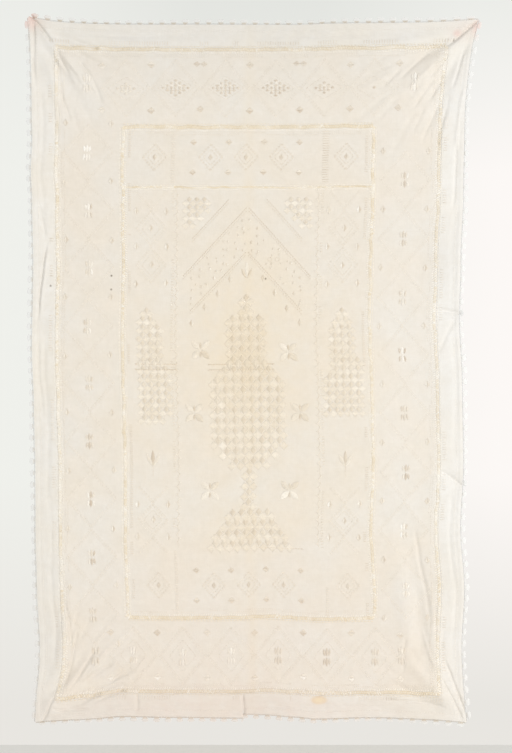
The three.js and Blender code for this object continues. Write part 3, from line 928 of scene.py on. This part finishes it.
# Cypresses: first column and count of each row
CYPRESS_TOP = 642.0
CYPRESS_PITCH = (16.4, 18.6)
LEFT_CYPRESS = ((-0.5, 1), (-1, 2), *((-1, 3),) * 5, *((-1, 4),) * 6, (-1, 3))
RIGHT_CYPRESS = ((0, 1), (-0.5, 2), *((-1, 3),) * 4, *((-1, 4),) * 2, *((-2, 5),) * 5)
# Plant: down of its tips, its leaf base and its foot
PLANT_TIP = 966.0
PLANT_BASE = 994.0
PLANT_FOOT = 1018.0
PLANT_SPREAD = 15.0
PLANT_TALLER = 8.0
PLANT_LEAF = 4.6


def side_strip(lines, satins, x, cypress):
    """A strip beside the niche: lozenges, a cypress, a plant and lozenges again."""
    for down, tall, sides in STRIP_LOZENGES:
        lozenge(lines, x, down, STRIP_WIDE, tall, doubled=STRIP_DOUBLED, sides=sides)
        if sides == ALL_SIDES:
            lozenge(lines, x, down, STRIP_WIDE * STRIP_INNER, tall * STRIP_INNER)
            satin_sideways(satins, placed(x), placed(down), *STRIP_HEART, near(CREAM), near(BUFF))
    for down in STRIP_PAIRS:
        for side in (-1, 1):
            satin_sideways(satins, placed(x + side * STRIP_PAIR_X), placed(down), *STRIP_SMALL,
                           *faded(STRIP_SMALL_KEPT, IVORY, BUFF))
    checker(satins, x, CYPRESS_TOP, cypress, CYPRESS_PITCH)
    for side, taller, tint in ((-1, 0.0, CREAM), (0, PLANT_TALLER, BUFF), (1, 0.0, CREAM)):
        leaf(satins, x, PLANT_BASE, x + side * PLANT_SPREAD, PLANT_TIP - taller, PLANT_LEAF, tint)
    line(lines, x, PLANT_BASE, x, PLANT_FOOT, BUFF)


# Slanting rows of the niche's head: x, down, to x, to down; each has a finer one under it
GABLE_ROWS = ((42, 392, 124, 481), (2, 411, 145, 566), (2, 511, 127, 644))
GABLE_APART = 7.0
# Cells in the corners beside the head
SPANDREL = (131.0, 392.0)
SPANDREL_PITCH = (17.0, 17.0)
SPANDREL_ROWS = (3, 3, 2, 1)
# Small diamonds under the head: how many, first place, step, size
GABLE_SMALLS = 4
GABLE_SMALL_START = (36.0, 571.0)
GABLE_SMALL_STEP = (29.0, 33.0)
GABLE_SMALL = (5.0, 8.0)
# Scattered seeds: where they may lie under the head's slope, and the row between them that stays free
SEED_PITCH = 16.0
SEED_REACH = 120.0
SEED_DOWN = (440.0, 640.0)
SEED_STRAY = 5.0
SEED_PEAK = 411.0
SEED_SLOPE = 1.08
SEED_ZONE = (14.0, 88.0)
SEED_FREE = 60.0
SEED_FREE_HALF = 4.0
SEED_SIZE = (2.2, 4.2)
SEED_KEPT = 0.35
# Leaves at the top of the tree: x, to x, to down, width, tint
TOP_LEAVES = ((0, 0, 532, 4.6, IVORY), (-2, -12, 548, 3.4, STRAW), (2, 12, 548, 3.4, STRAW))
TOP_LEAF_BASE = 570.0
# Two tiny lozenges to the right: x, down, half size
TINY_LOZENGES = (52.0, 69.0)
TINY_DOWN = 528.0
TINY_HALF = 6.0


def scatter_seeds(satins):
    """Small scattered diamonds under the slopes of the niche's head."""
    least, most = SEED_ZONE
    for x in np.arange(-SEED_REACH, SEED_REACH + 1.0, SEED_PITCH):
        for down in np.arange(*SEED_DOWN, SEED_PITCH):
            seed_x = x + float(RNG.uniform(-SEED_STRAY, SEED_STRAY))
            seed_d = down + float(RNG.uniform(-SEED_STRAY, SEED_STRAY))
            under = seed_d - SEED_PEAK - SEED_SLOPE * abs(seed_x)
            if least < under < most and abs(under - SEED_FREE) > SEED_FREE_HALF:
                size = float(RNG.uniform(*SEED_SIZE))
                satin_sideways(satins, seed_x, seed_d, size, size, *faded(SEED_KEPT, BUFF, IVORY))


def gable(lines, satins):
    """The pointed head of the niche: pairs of slanting rows, with small scattered work between them."""
    corner_x, corner_d = SPANDREL
    small_x, small_d = GABLE_SMALL_START
    step_x, step_d = GABLE_SMALL_STEP
    for side in (-1, 1):
        for x0, d0, x1, d1 in GABLE_ROWS:
            line(lines, side * x0, d0, side * x1, d1, GABLE_TINT, GABLE_RUN)
            line(lines, side * x0, d0 + GABLE_APART, side * x1, d1 + GABLE_APART, BUFF, GABLE_FINE_RUN)
        corner = [((1 - count) if side > 0 else 0, count) for count in SPANDREL_ROWS]
        checker(satins, side * corner_x, corner_d, corner, SPANDREL_PITCH)
        for k in range(GABLE_SMALLS):
            satin_sideways(satins, placed(side * (small_x + step_x * k)), placed(small_d + step_d * k),
                           *GABLE_SMALL, near(BUFF), near(CREAM))
    scatter_seeds(satins)
    for x0, x1, tip, wide, tint in TOP_LEAVES:
        leaf(satins, x0, TOP_LEAF_BASE, x1, tip, wide, tint)
    for x in TINY_LOZENGES:
        lozenge(lines, x, TINY_DOWN, TINY_HALF, TINY_HALF, BUFF)


# Parts of the tree: x, down of the first row, cells in each row
TREE_PARTS = (
    (0.0, 614.0, (1, 1)),
    (0.0, 660.0, (4, 4, 4, 4, 4, 6, 8, 8, 8, 8, 8, 8, 8, 6, 4)),
    (0.0, 1006.0, (1, 1, 1, 1)),
    (4.0, 1098.0, (5, 6, 8, 9)),
)
TREE_PITCH = (19.8, 23.0)
# Crosses beside the tree: x, down, tint of the upper petals, tint of the lower ones
CROSSES = ((-103, 731, 0.78, 0.7), (-121, 873, 0.7, 0.62), (-88, 1048, 0.66, 0.68), (95, 736, 0.74, 0.76),
           (117, 871, 0.7, 0.66), (92, 1048, 0.46, 0.76))
CROSS_DARKER = 0.1
# Winding rows at the sides of the niche, with short side stitches: start, reach, rise, width
VINE_WAVE = 18.0
VINE_SWING = 2.2
VINE_WIDTH = 1.8
VINE_STUB = (1.0, 6.0, 3.0, 2.0)
NICHE_BARS_OFF = 9.0
NICHE_WORN = 0.35
# Row under the tree's foot: x, to x, below the base
FOOT_ROW = (16.0, 124.0, 4.0)
# Seam across the tree and the left cypress: x, to x; then its rows: down, kind of stitch, tint
SEAM_RUNS = ((-252.0, -157.0), (-88.0, 62.0))
SEAM_ROWS = ((764.0, (5.2, 0.6, 2.8), 0.06), (776.0, (5.2, 0.6, 2.4), 0.2))
SEAM_HEIGHT = 0.6


def vine(work, x, start, end, tint):
    """A winding row of stitches with a short one to each side at its bends."""
    place = np.arange(start, end, VINE_WAVE / 6.0)
    winding = x + VINE_SWING * np.sin(2.0 * np.pi * place / VINE_WAVE)
    tone = tint + RNG.normal(0.0, TINT_JITTER, len(place) - 1)
    work.sew(winding[:-1], place[:-1], winding[1:], place[1:], VINE_WIDTH, tone)
    bend = np.arange(start + VINE_WAVE / 4.0, end, VINE_WAVE / 2.0)
    turn = np.where(np.arange(len(bend)) % 2 == 0, 1.0, -1.0)
    begin, reach, up, width = VINE_STUB
    work.sew(x - turn * begin, bend, x - turn * reach, bend - up, width, CREAM)


def tree(lines, satins):
    """The vase-shaped tree of the niche, its stem and stepped foot, and the crosses beside it."""
    for x, down, counts in TREE_PARTS:
        rows = [(-(count - 1) / 2, count) for count in counts]
        checker(satins, x, down, rows, TREE_PITCH)
    for x, down, upper, lower in CROSSES:
        tints = (near(upper), near(upper - CROSS_DARKER), near(lower - CROSS_DARKER), near(lower))
        petal_cross(satins, x, down, tints)
    for side in (-1, 1):
        x = side * NICHE_X
        vine(lines, x, NICHE_TOP + NICHE_GAP, NICHE_BASE, LINE)
        x += side * NICHE_BARS_OFF
        bars(lines, x, NICHE_TOP + NICHE_GAP, x, NICHE_BASE, NICHE_BARS, STRAW, NICHE_WORN)
    start, end, below = FOOT_ROW
    line(lines, start, NICHE_BASE + below, end, NICHE_BASE + below, BUFF, NICHE_RUN)
    for start, end in SEAM_RUNS:
        for down, kind, tint in SEAM_ROWS:
            line(lines, start, down, end, down, tint, kind, height=SEAM_HEIGHT)


def embroider(silk, yellow):
    """Work the whole panel and return its pieces."""
    ochre = Needlework("plaited_lines")
    drawn = Needlework("drawn_thread_bars")
    lines = Needlework("outline_stitches")
    borders = Needlework("satin_borders")
    niche = Needlework("satin_niche")
    frame_lines(ochre, drawn)
    top_band(lines, borders)
    bottom_band(lines, borders)
    side_band(lines, borders, LEFT_BAND, LEFT_BUDS)
    side_band(lines, borders, RIGHT_BAND, RIGHT_BUDS)
    for x, down, heart, sides in CORNER_BUDS:
        bud(borders, x, down, CORNER_BUD_TALL, heart, sides, sides)
    for row in NEST_ROWS:
        nested_row(lines, borders, *row)
    ladders(drawn)
    side_strip(lines, niche, -STRIP_X, LEFT_CYPRESS)
    side_strip(lines, niche, STRIP_X, RIGHT_CYPRESS)
    gable(lines, niche)
    tree(lines, niche)
    pieces = [work.build(silk) for work in (drawn, lines, borders, niche)]
    return pieces + [ochre.build(yellow)]


# Hem of a border: insets of its row and its ladder, then tint and worn share at the top and elsewhere
HEM_ROW = 14.0
HEM_LADDER = BORDER_WIDTH - 10.0
TOP_LADDER = (BUFF, 0.4)
OTHER_LADDERS = (STRAW - 0.06, 0.6)

# Edging: braid of two strands and one picot to each step, as in the solids
PICOTS_ACROSS = 38
PICOTS_DOWN = 61
BRAID_OUT = 1.9
BRAID_RADIUS = 0.85
BRAID_TWIST = 7.0
BRAID_STEP = 1.8
BRAID_START = 0.5
BRAID_SIDES = 6
BRAID_DRIFT = (30.0, -0.1, 0.1)
PICOT_ROOT = 1.6
PICOT_LENGTH = 9.8
PICOT_SLIDE = 2.2
PICOT_VARY = 0.16
PICOT_SCATTER = (12.9898, 78.233)
JOIN_CLEARANCE = 5.6
# Rings of a picot: share of its length, half width, half thickness, share of the way from root to lobe tint
PICOT_RINGS = ((0.0, 4.4, 0.9, 0.0), (0.2, 4.8, 0.9, 0.05), (0.36, 6.2, 0.8, 0.5), (0.5, 7.8, 0.7, 1.0),
               (0.72, 7.8, 0.6, 1.0), (0.9, 5.6, 0.45, 1.0), (0.98, 3.2, 0.3, 1.0), (1.0, 2.4, 0.2, 1.0))
PICOT_TURNS = np.radians((0.0, 12.0, 50.0, 90.0, 130.0, 168.0, 180.0, 192.0, 230.0, 270.0, 310.0, 348.0))
PICOT_SIDES = len(PICOT_TURNS)
# Tints of each edge: roots, braid, lobes. The dark roots are painted shadow at the picots' roots, and the
# tints differ from edge to edge as painted light, lightest on the right and darkest along the bottom.
EDGE_TINTS_AND_SHADING = {"top": (0.0, 0.46, 0.60), "left": (0.3, 0.48, 0.54), "right": (0.3, 0.7, 0.66),
              "bottom": (0.04, 0.22, 0.50)}
# Reach of the painted root shadow along the braid
ROOT_SHADOW_REACH = 4.4


def hem_stitches(name, run, silk):
    """The hem row of a border, and what is left of its ladder of drawn threads, most of it along the top."""
    work = Needlework(name)
    line(work, *run.row(HEM_ROW), CREAM, HEM_RUN)
    bars(work, *run.row(HEM_LADDER), HEM_BARS, *(TOP_LADDER if run.edge == "top" else OTHER_LADDERS))
    return work.build(silk)


def strand_points(place, strand):
    """Rings of points round one strand of the braid: along the edge, out from it, and high."""
    turn = 2.0 * np.pi * place / BRAID_TWIST + np.pi * strand
    angle = np.arange(BRAID_SIDES) * 2.0 * np.pi / BRAID_SIDES
    out = (BRAID_OUT + BRAID_RADIUS * np.cos(turn))[:, None] + BRAID_RADIUS * np.cos(angle)[None, :]
    depth = (BRAID_RADIUS * np.sin(turn))[:, None] + BRAID_RADIUS * np.sin(angle)[None, :]
    return np.repeat(place, BRAID_SIDES), out.ravel(), depth.ravel()


def picot_points(along, length):
    """One crocheted picot, a flat lobed scallop on a short neck: along the edge, out from it, and high."""
    bulge = np.sign(np.sin(PICOT_TURNS)) * np.sqrt(np.abs(np.sin(PICOT_TURNS)))
    rings = []
    for reach, wide, thick, _ in PICOT_RINGS:
        out = np.full(PICOT_SIDES, PICOT_ROOT + length * reach)
        rings.append((along + wide * np.cos(PICOT_TURNS), out, thick * bulge))
    return np.concatenate(rings, axis=1)


def ring_faces(rings, sides, base):
    """Quads between rings and a cap at each end."""
    faces = []
    for r in range(rings - 1):
        for k in range(sides):
            n = (k + 1) % sides
            a = base + r * sides
            faces.append((a + k, a + n, a + sides + n, a + sides + k))
    faces.append(tuple(base + k for k in reversed(range(sides))))
    faces.append(tuple(base + (rings - 1) * sides + k for k in range(sides)))
    return faces


def edging(name, run, material):
    """A twisted braid along one edge with its picots; the braid is smooth and the picots are faceted. The
    dark picot roots, and the braid darkening beside them, are painted shadow, and each edge's tints are
    painted light, lightest on the right edge and darkest along the bottom.
    """
    place = np.arange(run.start + BRAID_START, run.end, BRAID_STEP)
    roots, lengths = run.picots()
    apart = np.abs(place[:, None] - roots[None, :]).min(axis=1)
    root, braid, lobe = EDGE_TINTS_AND_SHADING[run.edge]
    shaded = braid + wander(place, *BRAID_DRIFT) + (root - braid) * np.exp(-((apart / ROOT_SHADOW_REACH) ** 2))
    braid_tint = np.clip(shaded, 0.0, 1.0)
    picot_tint = [root + (lobe - root) * ring[3] for ring in PICOT_RINGS]
    parts = [(strand_points(place, strand), braid_tint, BRAID_SIDES) for strand in range(2)]
    parts += [(picot_points(at, length), picot_tint, PICOT_SIDES) for at, length in zip(roots, lengths)]
    faces = []
    rounded = []
    base = 0
    for points, tints, sides in parts:
        made = ring_faces(len(tints), sides, base)
        faces += made
        rounded += [sides == BRAID_SIDES] * len(made)
        base += len(points[0])
    along, out, depth = np.concatenate([points for points, _, _ in parts], axis=1)
    tint = np.concatenate([np.repeat(tints, sides) for _, tints, sides in parts])
    x, down = run.flat(along, out)
    flat = np.stack([x, -down], axis=1)
    return make_piece(name, raised(x, down, depth), faces, flat, material, tint, rounded)


# Materials
NOISE_ROUGHNESS = 0.55


class Nodes:
    """A node tree with one method to each kind of value."""

    def __init__(self, tree):
        self.tree = tree

    def add(self, kind, inputs=None, **settings):
        """A node with its settings, and its inputs set or linked."""
        made = self.tree.nodes.new(kind)
        for key, value in settings.items():
            setattr(made, key, value)
        self.put(made, inputs or {})
        return made

    def put(self, node, inputs):
        """Link or set inputs of a node."""
        for key, value in inputs.items():
            if isinstance(value, bpy.types.NodeSocket):
                self.tree.links.new(value, node.inputs[key])
            else:
                node.inputs[key].default_value = value

    def flat_place(self):
        """Flat place on the cloth, in metres."""
        return self.add("ShaderNodeUVMap", uv_map=FLAT_MAP).outputs["UV"]

    def mixed(self, factor, first, second):
        """Colour mixed from first to second."""
        return self.add("ShaderNodeMix", {0: factor, 6: first, 7: second}, data_type="RGBA").outputs[2]

    def sum_of(self, operation, first, second):
        """One arithmetic step."""
        return self.add("ShaderNodeMath", {0: first, 1: second}, operation=operation).outputs[0]

    def noise(self, place, scale, detail=3.0):
        """Noise value at a place."""
        inputs = {"Vector": place, "Scale": scale, "Detail": detail, "Roughness": NOISE_ROUGHNESS}
        return self.add("ShaderNodeTexNoise", inputs).outputs["Fac"]

    def ranged(self, value, low, high, to_low=0.0, to_high=1.0):
        """Value moved from one range to another, kept inside it."""
        inputs = {"Value": value, "From Min": low, "From Max": high, "To Min": to_low, "To Max": to_high}
        return self.add("ShaderNodeMapRange", inputs).outputs["Result"]

    def vector(self, operation, first, second):
        """One arithmetic step on a place."""
        return self.add("ShaderNodeVectorMath", {0: first, 1: second}, operation=operation).outputs[0]

    def wave(self, place, scale, direction):
        """Even bands in one direction."""
        inputs = {"Vector": place, "Scale": scale, "Distortion": WEAVE_DISTORTION}
        return self.add("ShaderNodeTexWave", inputs, bands_direction=direction).outputs["Fac"]

    def bump(self, height, distance, strength, normal=None):
        """Normal with a fine relief laid over it."""
        inputs = {"Height": height, "Distance": distance, "Strength": strength}
        if normal:
            inputs["Normal"] = normal
        return self.add("ShaderNodeBump", inputs).outputs["Normal"]


def shade(red, green, blue):
    """Linear colour with full cover."""
    return (red, green, blue, 1.0)


# Stains and patches of tone: x, down, half width, half height, where it is full, strength, colour
AGE = shade(0.745, 0.63, 0.45)
# Darker grey patch: across the top, along the bottom edge and down the lower left border
DARKER_PATCH = shade(0.58, 0.565, 0.53)
# Paler, cooler patch: down the right border and band, and at the top corners
PALER_PATCH = shade(0.80, 0.80, 0.79)
RUST = shade(0.70, 0.50, 0.28)
SPECK = shade(0.10, 0.07, 0.04)
BLUSH = shade(0.67, 0.54, 0.46)
PINK = shade(0.72, 0.46, 0.41)
STAINS = (
    (0, 760, 330, 560, 0.2, 0.26, AGE), (0, 735, 150, 250, 0.2, 0.36, AGE), (0, 735, 75, 90, 0.2, 0.26, AGE),
    (-210, 780, 70, 190, 0.3, 0.18, AGE), (216, 770, 70, 180, 0.3, 0.18, AGE),
    (0, 1135, 110, 70, 0.3, 0.26, AGE), (3, 760, 15, 1300, 0.2, 0.19, AGE),
    (4, 1430, 11, 150, 0.3, 0.07, RUST), (0, 0, 600, 170, 0.2, 0.30, DARKER_PATCH),
    (0, 15, 620, 50, 0.3, 0.16, DARKER_PATCH), (0, 1540, 620, 50, 0.3, 0.28, DARKER_PATCH),
    (-40, 1570, 620, 420, 0.1, 0.30, BLUSH), (-100, 1545, 480, 60, 0.3, 0.30, BLUSH),
    (-470, 1250, 60, 420, 0.3, 0.30, DARKER_PATCH), (480, 700, 70, 900, 0.3, 0.55, PALER_PATCH),
    (-420, 120, 130, 130, 0.2, 0.16, PALER_PATCH), (425, 120, 120, 150, 0.2, 0.18, PALER_PATCH),
    (355, 700, 80, 620, 0.3, 0.14, PALER_PATCH), (155, 1516, 18, 9, 0.8, 0.55, RUST),
    (155, 1516, 12, 5.5, 0.5, 0.6, AGE), (-306, 565, 2.6, 2.6, 0.3, 0.9, SPECK),
    (-306, 596, 2.6, 2.6, 0.3, 0.9, SPECK), (-443, 587, 2.9, 2.9, 0.3, 0.9, SPECK),
    (43, 572, 2.6, 2.6, 0.3, 0.8, SPECK), (-478, -4, 42, 34, 0.3, 0.45, BLUSH),
    (466, 20, 40, 30, 0.3, 0.40, BLUSH), (-482, 0, 17, 26, 0.3, 0.55, PINK),
    (446, 26, 9, 9, 0.3, 0.45, PINK), (484, 14, 12, 22, 0.3, 0.40, PINK),
)
STAIN_EDGE = 1.2
# Noise that breaks up the stains: scale, detail, range of the noise and of what it leaves
STAIN_NOISE = (38.0, 4.0)
STAIN_RAGGED = (0.3, 0.7, 0.55, 1.0)


def stained(nodes, flat, colour):
    """Colour with the stains and patches of tone laid over it, their edges broken up by noise."""
    ragged = nodes.ranged(nodes.noise(flat, *STAIN_NOISE), *STAIN_RAGGED)
    for x, down, half_x, half_d, core, strength, tone in STAINS:
        away = nodes.vector("SUBTRACT", flat, (x * MM, -down * MM, 0.0))
        size = nodes.vector("MULTIPLY", away, (1.0 / (half_x * MM), 1.0 / (half_d * MM), 1.0))
        reach = nodes.add("ShaderNodeVectorMath", {0: size}, operation="LENGTH").outputs["Value"]
        cover = nodes.ranged(reach, STAIN_EDGE, core, 0.0, strength)
        colour = nodes.mixed(nodes.sum_of("MULTIPLY", cover, ragged), colour, tone)
    return colour


def new_material(name):
    """A node material with its nodes and its shader."""
    material = bpy.data.materials.new(name)
    material.use_nodes = True
    return material, Nodes(material.node_tree), material.node_tree.nodes["Principled BSDF"]


# Cotton: pale and warm colour of each cloth
PANEL_COTTON = (shade(0.738, 0.708, 0.658), shade(0.748, 0.692, 0.612))
BORDER_COTTON = (shade(0.758, 0.745, 0.715), shade(0.755, 0.724, 0.664))
WARM_NOISE = (7.0, 4.0)
WARM_RANGE = (0.36, 0.64)
# Mottling: colour, range of the noise, then scale and amount of each size of spot
MOTTLE_TONE = shade(0.60, 0.555, 0.47)
MOTTLE_RANGE = (0.3, 0.7)
MOTTLES = ((26.0, 0.18), (85.0, 0.20))
# Slubs: scale across and along a thread, then the range of the noise and the shade it gives
SLUB_ALONG = 26.0
SLUB_ACROSS = 620.0
SLUB_RANGE = (0.14, 0.36, 0.16, 0.0)
SLUB_TONE = shade(0.60, 0.53, 0.43)
FINE_DETAIL = 2.0
# Relief of weave, puckers and cockling: scale, then depth in metres and strength
WEAVE_SCALE = 330.0
WEAVE_DISTORTION = 0.6
WEAVE_LEAST = 0.5
WEAVE_RELIEF = (0.00012, 0.8)
PUCKER_SCALE = 105.0
PUCKER_RELIEF = (0.0006, 0.7)
COCKLE_SCALE = 34.0
COCKLE_RELIEF = (0.0017, 0.7)
COTTON_SURFACE = {"Roughness": 0.88, "Specular IOR Level": 0.22,
                  "Sheen Weight": 0.12, "Sheen Roughness": 0.5}


def cloth_material(name, pale, warm):
    """Plain hand-woven cotton: weave, slubs, soft mottling, cockling and stains."""
    material, nodes, shader = new_material(name)
    flat = nodes.flat_place()
    colour = nodes.mixed(nodes.ranged(nodes.noise(flat, *WARM_NOISE), *WARM_RANGE), pale, warm)
    for scale, amount in MOTTLES:
        spotted = nodes.ranged(nodes.noise(flat, scale, FINE_DETAIL), *MOTTLE_RANGE, 0.0, amount)
        colour = nodes.mixed(spotted, colour, MOTTLE_TONE)
    weft = nodes.noise(nodes.vector("MULTIPLY", flat, (SLUB_ALONG, SLUB_ACROSS, 1.0)), 1.0, FINE_DETAIL)
    warp = nodes.noise(nodes.vector("MULTIPLY", flat, (SLUB_ACROSS, SLUB_ALONG, 1.0)), 1.0, FINE_DETAIL)
    slub = nodes.sum_of("MULTIPLY", weft, warp)
    colour = nodes.mixed(nodes.ranged(slub, *SLUB_RANGE), colour, SLUB_TONE)
    bands = nodes.sum_of("ADD", nodes.wave(flat, WEAVE_SCALE, "X"), nodes.wave(flat, WEAVE_SCALE, "Y"))
    weave = nodes.sum_of("MULTIPLY", bands, nodes.sum_of("ADD", slub, WEAVE_LEAST))
    normal = nodes.bump(weave, *WEAVE_RELIEF)
    normal = nodes.bump(nodes.noise(flat, PUCKER_SCALE, FINE_DETAIL), *PUCKER_RELIEF, normal)
    normal = nodes.bump(nodes.noise(flat, COCKLE_SCALE), *COCKLE_RELIEF, normal)
    nodes.put(shader, {"Base Color": stained(nodes, flat, colour), "Normal": normal, **COTTON_SURFACE})
    return material


# Threads: dark, middle and light colour, roughness, sheen. The floss silk's light colour also serves as
# painted highlight on the satin, and the edging thread's dark colour is the painted shadow at the picots'
# roots.
FLOSS_SILK = (shade(0.64, 0.55, 0.44), shade(0.80, 0.737, 0.636), shade(0.97, 0.95, 0.90), 0.42, 0.25)
YELLOW_SILK = (shade(0.73, 0.615, 0.42), shade(0.815, 0.72, 0.55), shade(0.93, 0.90, 0.83), 0.5, 0.2)
CROCHET_THREAD = (shade(0.47, 0.40, 0.30), shade(0.68, 0.69, 0.68), shade(0.79, 0.775, 0.75), 0.8, 0.1)
THREAD_SPECULAR = 0.45
FIBRE_SCALE = 900.0
FIBRE_RELIEF = (0.0002, 0.6)
# Wear of the threads: scale of the noise, then its range and how much of the middle colour it gives
RUBBED_SCALE = 60.0
RUBBED_RANGE = (0.35, 0.7, 0.0, 0.28)


def thread_material(name, dark, middle, light, roughness, sheen):
    """Floss silk or edging thread: the tint picks the colour, with fine fibre lines and stains; the tint
    carries painted sheen, highlight and root shadow as well as the thread's own colour.
    """
    material, nodes, shader = new_material(name)
    flat = nodes.flat_place()
    tint = nodes.add("ShaderNodeAttribute", attribute_name=TINT).outputs["Fac"]
    ramp = nodes.add("ShaderNodeValToRGB", {"Fac": tint})
    ramp.color_ramp.elements[0].color = dark
    ramp.color_ramp.elements[1].color = light
    ramp.color_ramp.elements.new(0.5).color = middle
    rubbed = nodes.ranged(nodes.noise(flat, RUBBED_SCALE), *RUBBED_RANGE)
    colour = nodes.mixed(rubbed, ramp.outputs["Color"], middle)
    normal = nodes.bump(nodes.noise(flat, FIBRE_SCALE, FINE_DETAIL), *FIBRE_RELIEF)
    nodes.put(shader, {"Base Color": stained(nodes, flat, colour), "Normal": normal, "Roughness": roughness,
                       "Specular IOR Level": THREAD_SPECULAR, "Sheen Weight": sheen})
    return material


# Floor, in metres
FLOOR_Z = -1.675
FLOOR_BACK = 0.3
FLOOR_FRONT = -2.2
FLOOR_HALF = 2.4
FLOOR_TONES = (shade(0.84, 0.825, 0.80), shade(0.87, 0.855, 0.83))
FLOOR_MOTTLE = 3.0
FLOOR_ROUGHNESS = 0.9

# Room: colours behind the cloth at the left, right, top, middle of the top and bottom, and in front of it
WALL_LEFT = shade(0.868, 0.875, 0.835)
WALL_RIGHT = shade(0.975, 0.94, 0.915)
WALL_HIGH = shade(0.835, 0.845, 0.81)
WALL_ABOVE = shade(0.775, 0.785, 0.75)
WALL_LOW = shade(0.81, 0.79, 0.75)
ROOM_FRONT = shade(0.60, 0.60, 0.60)
# Where one gives way to the next, as parts of a direction
ACROSS_RANGE = (-0.02, 0.12)
HIGH_RANGE = (0.10, 0.185)
ABOVE_RANGE = (0.10, 0.03)
LOW_RANGE = (-0.05, -0.16)
BACK_RANGE = (-0.2, 0.6)

# Lights: name, place, size, power
LIGHTS = (("key", (4.6, -6.0, -0.3), 1.4, 330.0), ("fill", (-3.0, -4.2, -1.0), 1.6, 50.0))
LIGHT_AIM = (0.0, 0.0, -0.8)
LIGHT_COLOUR = (1.0, 0.985, 0.965)

# Camera: the photograph's height and middle in pixels, and the size of a pixel on the cloth
PHOTO_HEIGHT = 753
PIXEL = 2.25 * MM
CAMERA_X = 9.0 * PIXEL
CAMERA_Z = -351.5 * PIXEL
CAMERA_DISTANCE = 4.5
SENSOR = 36.0


# Stage, light and camera
def make_floor():
    """A plain pale floor under the hanging."""
    corners = [(-FLOOR_HALF, FLOOR_FRONT, FLOOR_Z), (FLOOR_HALF, FLOOR_FRONT, FLOOR_Z),
               (FLOOR_HALF, FLOOR_BACK, FLOOR_Z), (-FLOOR_HALF, FLOOR_BACK, FLOOR_Z)]
    mesh = bpy.data.meshes.new("floor")
    mesh.from_pydata(corners, [], [(0, 1, 2, 3)])
    material, nodes, shader = new_material("floor_matt")
    place = nodes.add("ShaderNodeTexCoord").outputs["Object"]
    colour = nodes.mixed(nodes.noise(place, FLOOR_MOTTLE), *FLOOR_TONES)
    nodes.put(shader, {"Base Color": colour, "Roughness": FLOOR_ROUGHNESS})
    mesh.materials.append(material)
    floor = add_object("floor", mesh)


def make_world():
    """A pale room, brighter behind the cloth than in front of it, and brightest to its right."""
    world = bpy.data.worlds.new("room")
    world.use_nodes = True
    nodes = Nodes(world.node_tree)
    way = nodes.add("ShaderNodeTexCoord").outputs["Generated"]
    part = nodes.add("ShaderNodeSeparateXYZ", {0: way}).outputs
    wall = nodes.mixed(nodes.ranged(part["X"], *ACROSS_RANGE), WALL_LEFT, WALL_RIGHT)
    high = nodes.ranged(part["Z"], *HIGH_RANGE)
    wall = nodes.mixed(high, wall, WALL_HIGH)
    above = nodes.ranged(nodes.sum_of("ABSOLUTE", part["X"], 0.0), *ABOVE_RANGE)
    wall = nodes.mixed(nodes.sum_of("MULTIPLY", high, above), wall, WALL_ABOVE)
    wall = nodes.mixed(nodes.ranged(part["Z"], *LOW_RANGE), wall, WALL_LOW)
    colour = nodes.mixed(nodes.ranged(part["Y"], *BACK_RANGE), ROOM_FRONT, wall)
    nodes.put(world.node_tree.nodes["Background"], {"Color": colour})
    bpy.context.scene.world = world


def make_light(name, place, size, power):
    """A soft square light aimed at the cloth."""
    data = bpy.data.lights.new(name, "AREA")
    data.size = size
    data.energy = power
    data.color = LIGHT_COLOUR
    lamp = add_object(name, data)
    lamp.location = place
    lamp.rotation_euler = (Vector(LIGHT_AIM) - Vector(place)).to_track_quat("-Z", "Y").to_euler()


def make_camera():
    """A camera square to the cloth, at the photograph's framing."""
    data = bpy.data.cameras.new("camera")
    data.sensor_width = SENSOR
    data.lens = SENSOR * CAMERA_DISTANCE / (PHOTO_HEIGHT * PIXEL)
    camera = add_object("camera", data)
    camera.location = (CAMERA_X, -CAMERA_DISTANCE, CAMERA_Z)
    camera.rotation_euler = (math.pi / 2, 0.0, 0.0)
    bpy.context.scene.camera = camera


# Borders: name, number of the run in the solids, edge, start, end
BORDERS = (
    ("top", 0, "top", -HALF_WIDTH, HALF_WIDTH),
    ("bottom_left", 3, "bottom", -HALF_WIDTH, JOIN_X - SEAM_GAP / 2),
    ("bottom_right", 4, "bottom", JOIN_X + SEAM_GAP / 2, HALF_WIDTH),
    ("left", 1, "left", 0.0, CLOTH_HEIGHT),
    ("right", 2, "right", 0.0, CLOTH_HEIGHT),
)


def dress():
    """Make every piece and hide the solids that it stands for."""
    panel_cotton = cloth_material("panel_cotton", *PANEL_COTTON)
    border_cotton = cloth_material("border_cotton", *BORDER_COTTON)
    silk = thread_material("floss_silk", *FLOSS_SILK)
    yellow = thread_material("yellow_silk", *YELLOW_SILK)
    crochet = thread_material("crochet_thread", *CROCHET_THREAD)

    panel = panel_sheet(panel_cotton)
    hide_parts("panel")
    work = embroider(silk, yellow)

    for name, *place in BORDERS:
        run = EdgeRun(*place)
        strip = border_sheet("cloth_" + name, run, border_cotton)
        trim = edging("picots_" + name, run, crochet)
        hem = hem_stitches("hem_" + name, run, silk)
        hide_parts("border_" + name)
        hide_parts("edging_" + name)


dress()
make_floor()
make_world()
for light in LIGHTS:
    make_light(*light)
make_camera()
bpy.context.scene.view_settings.view_transform = "Standard"
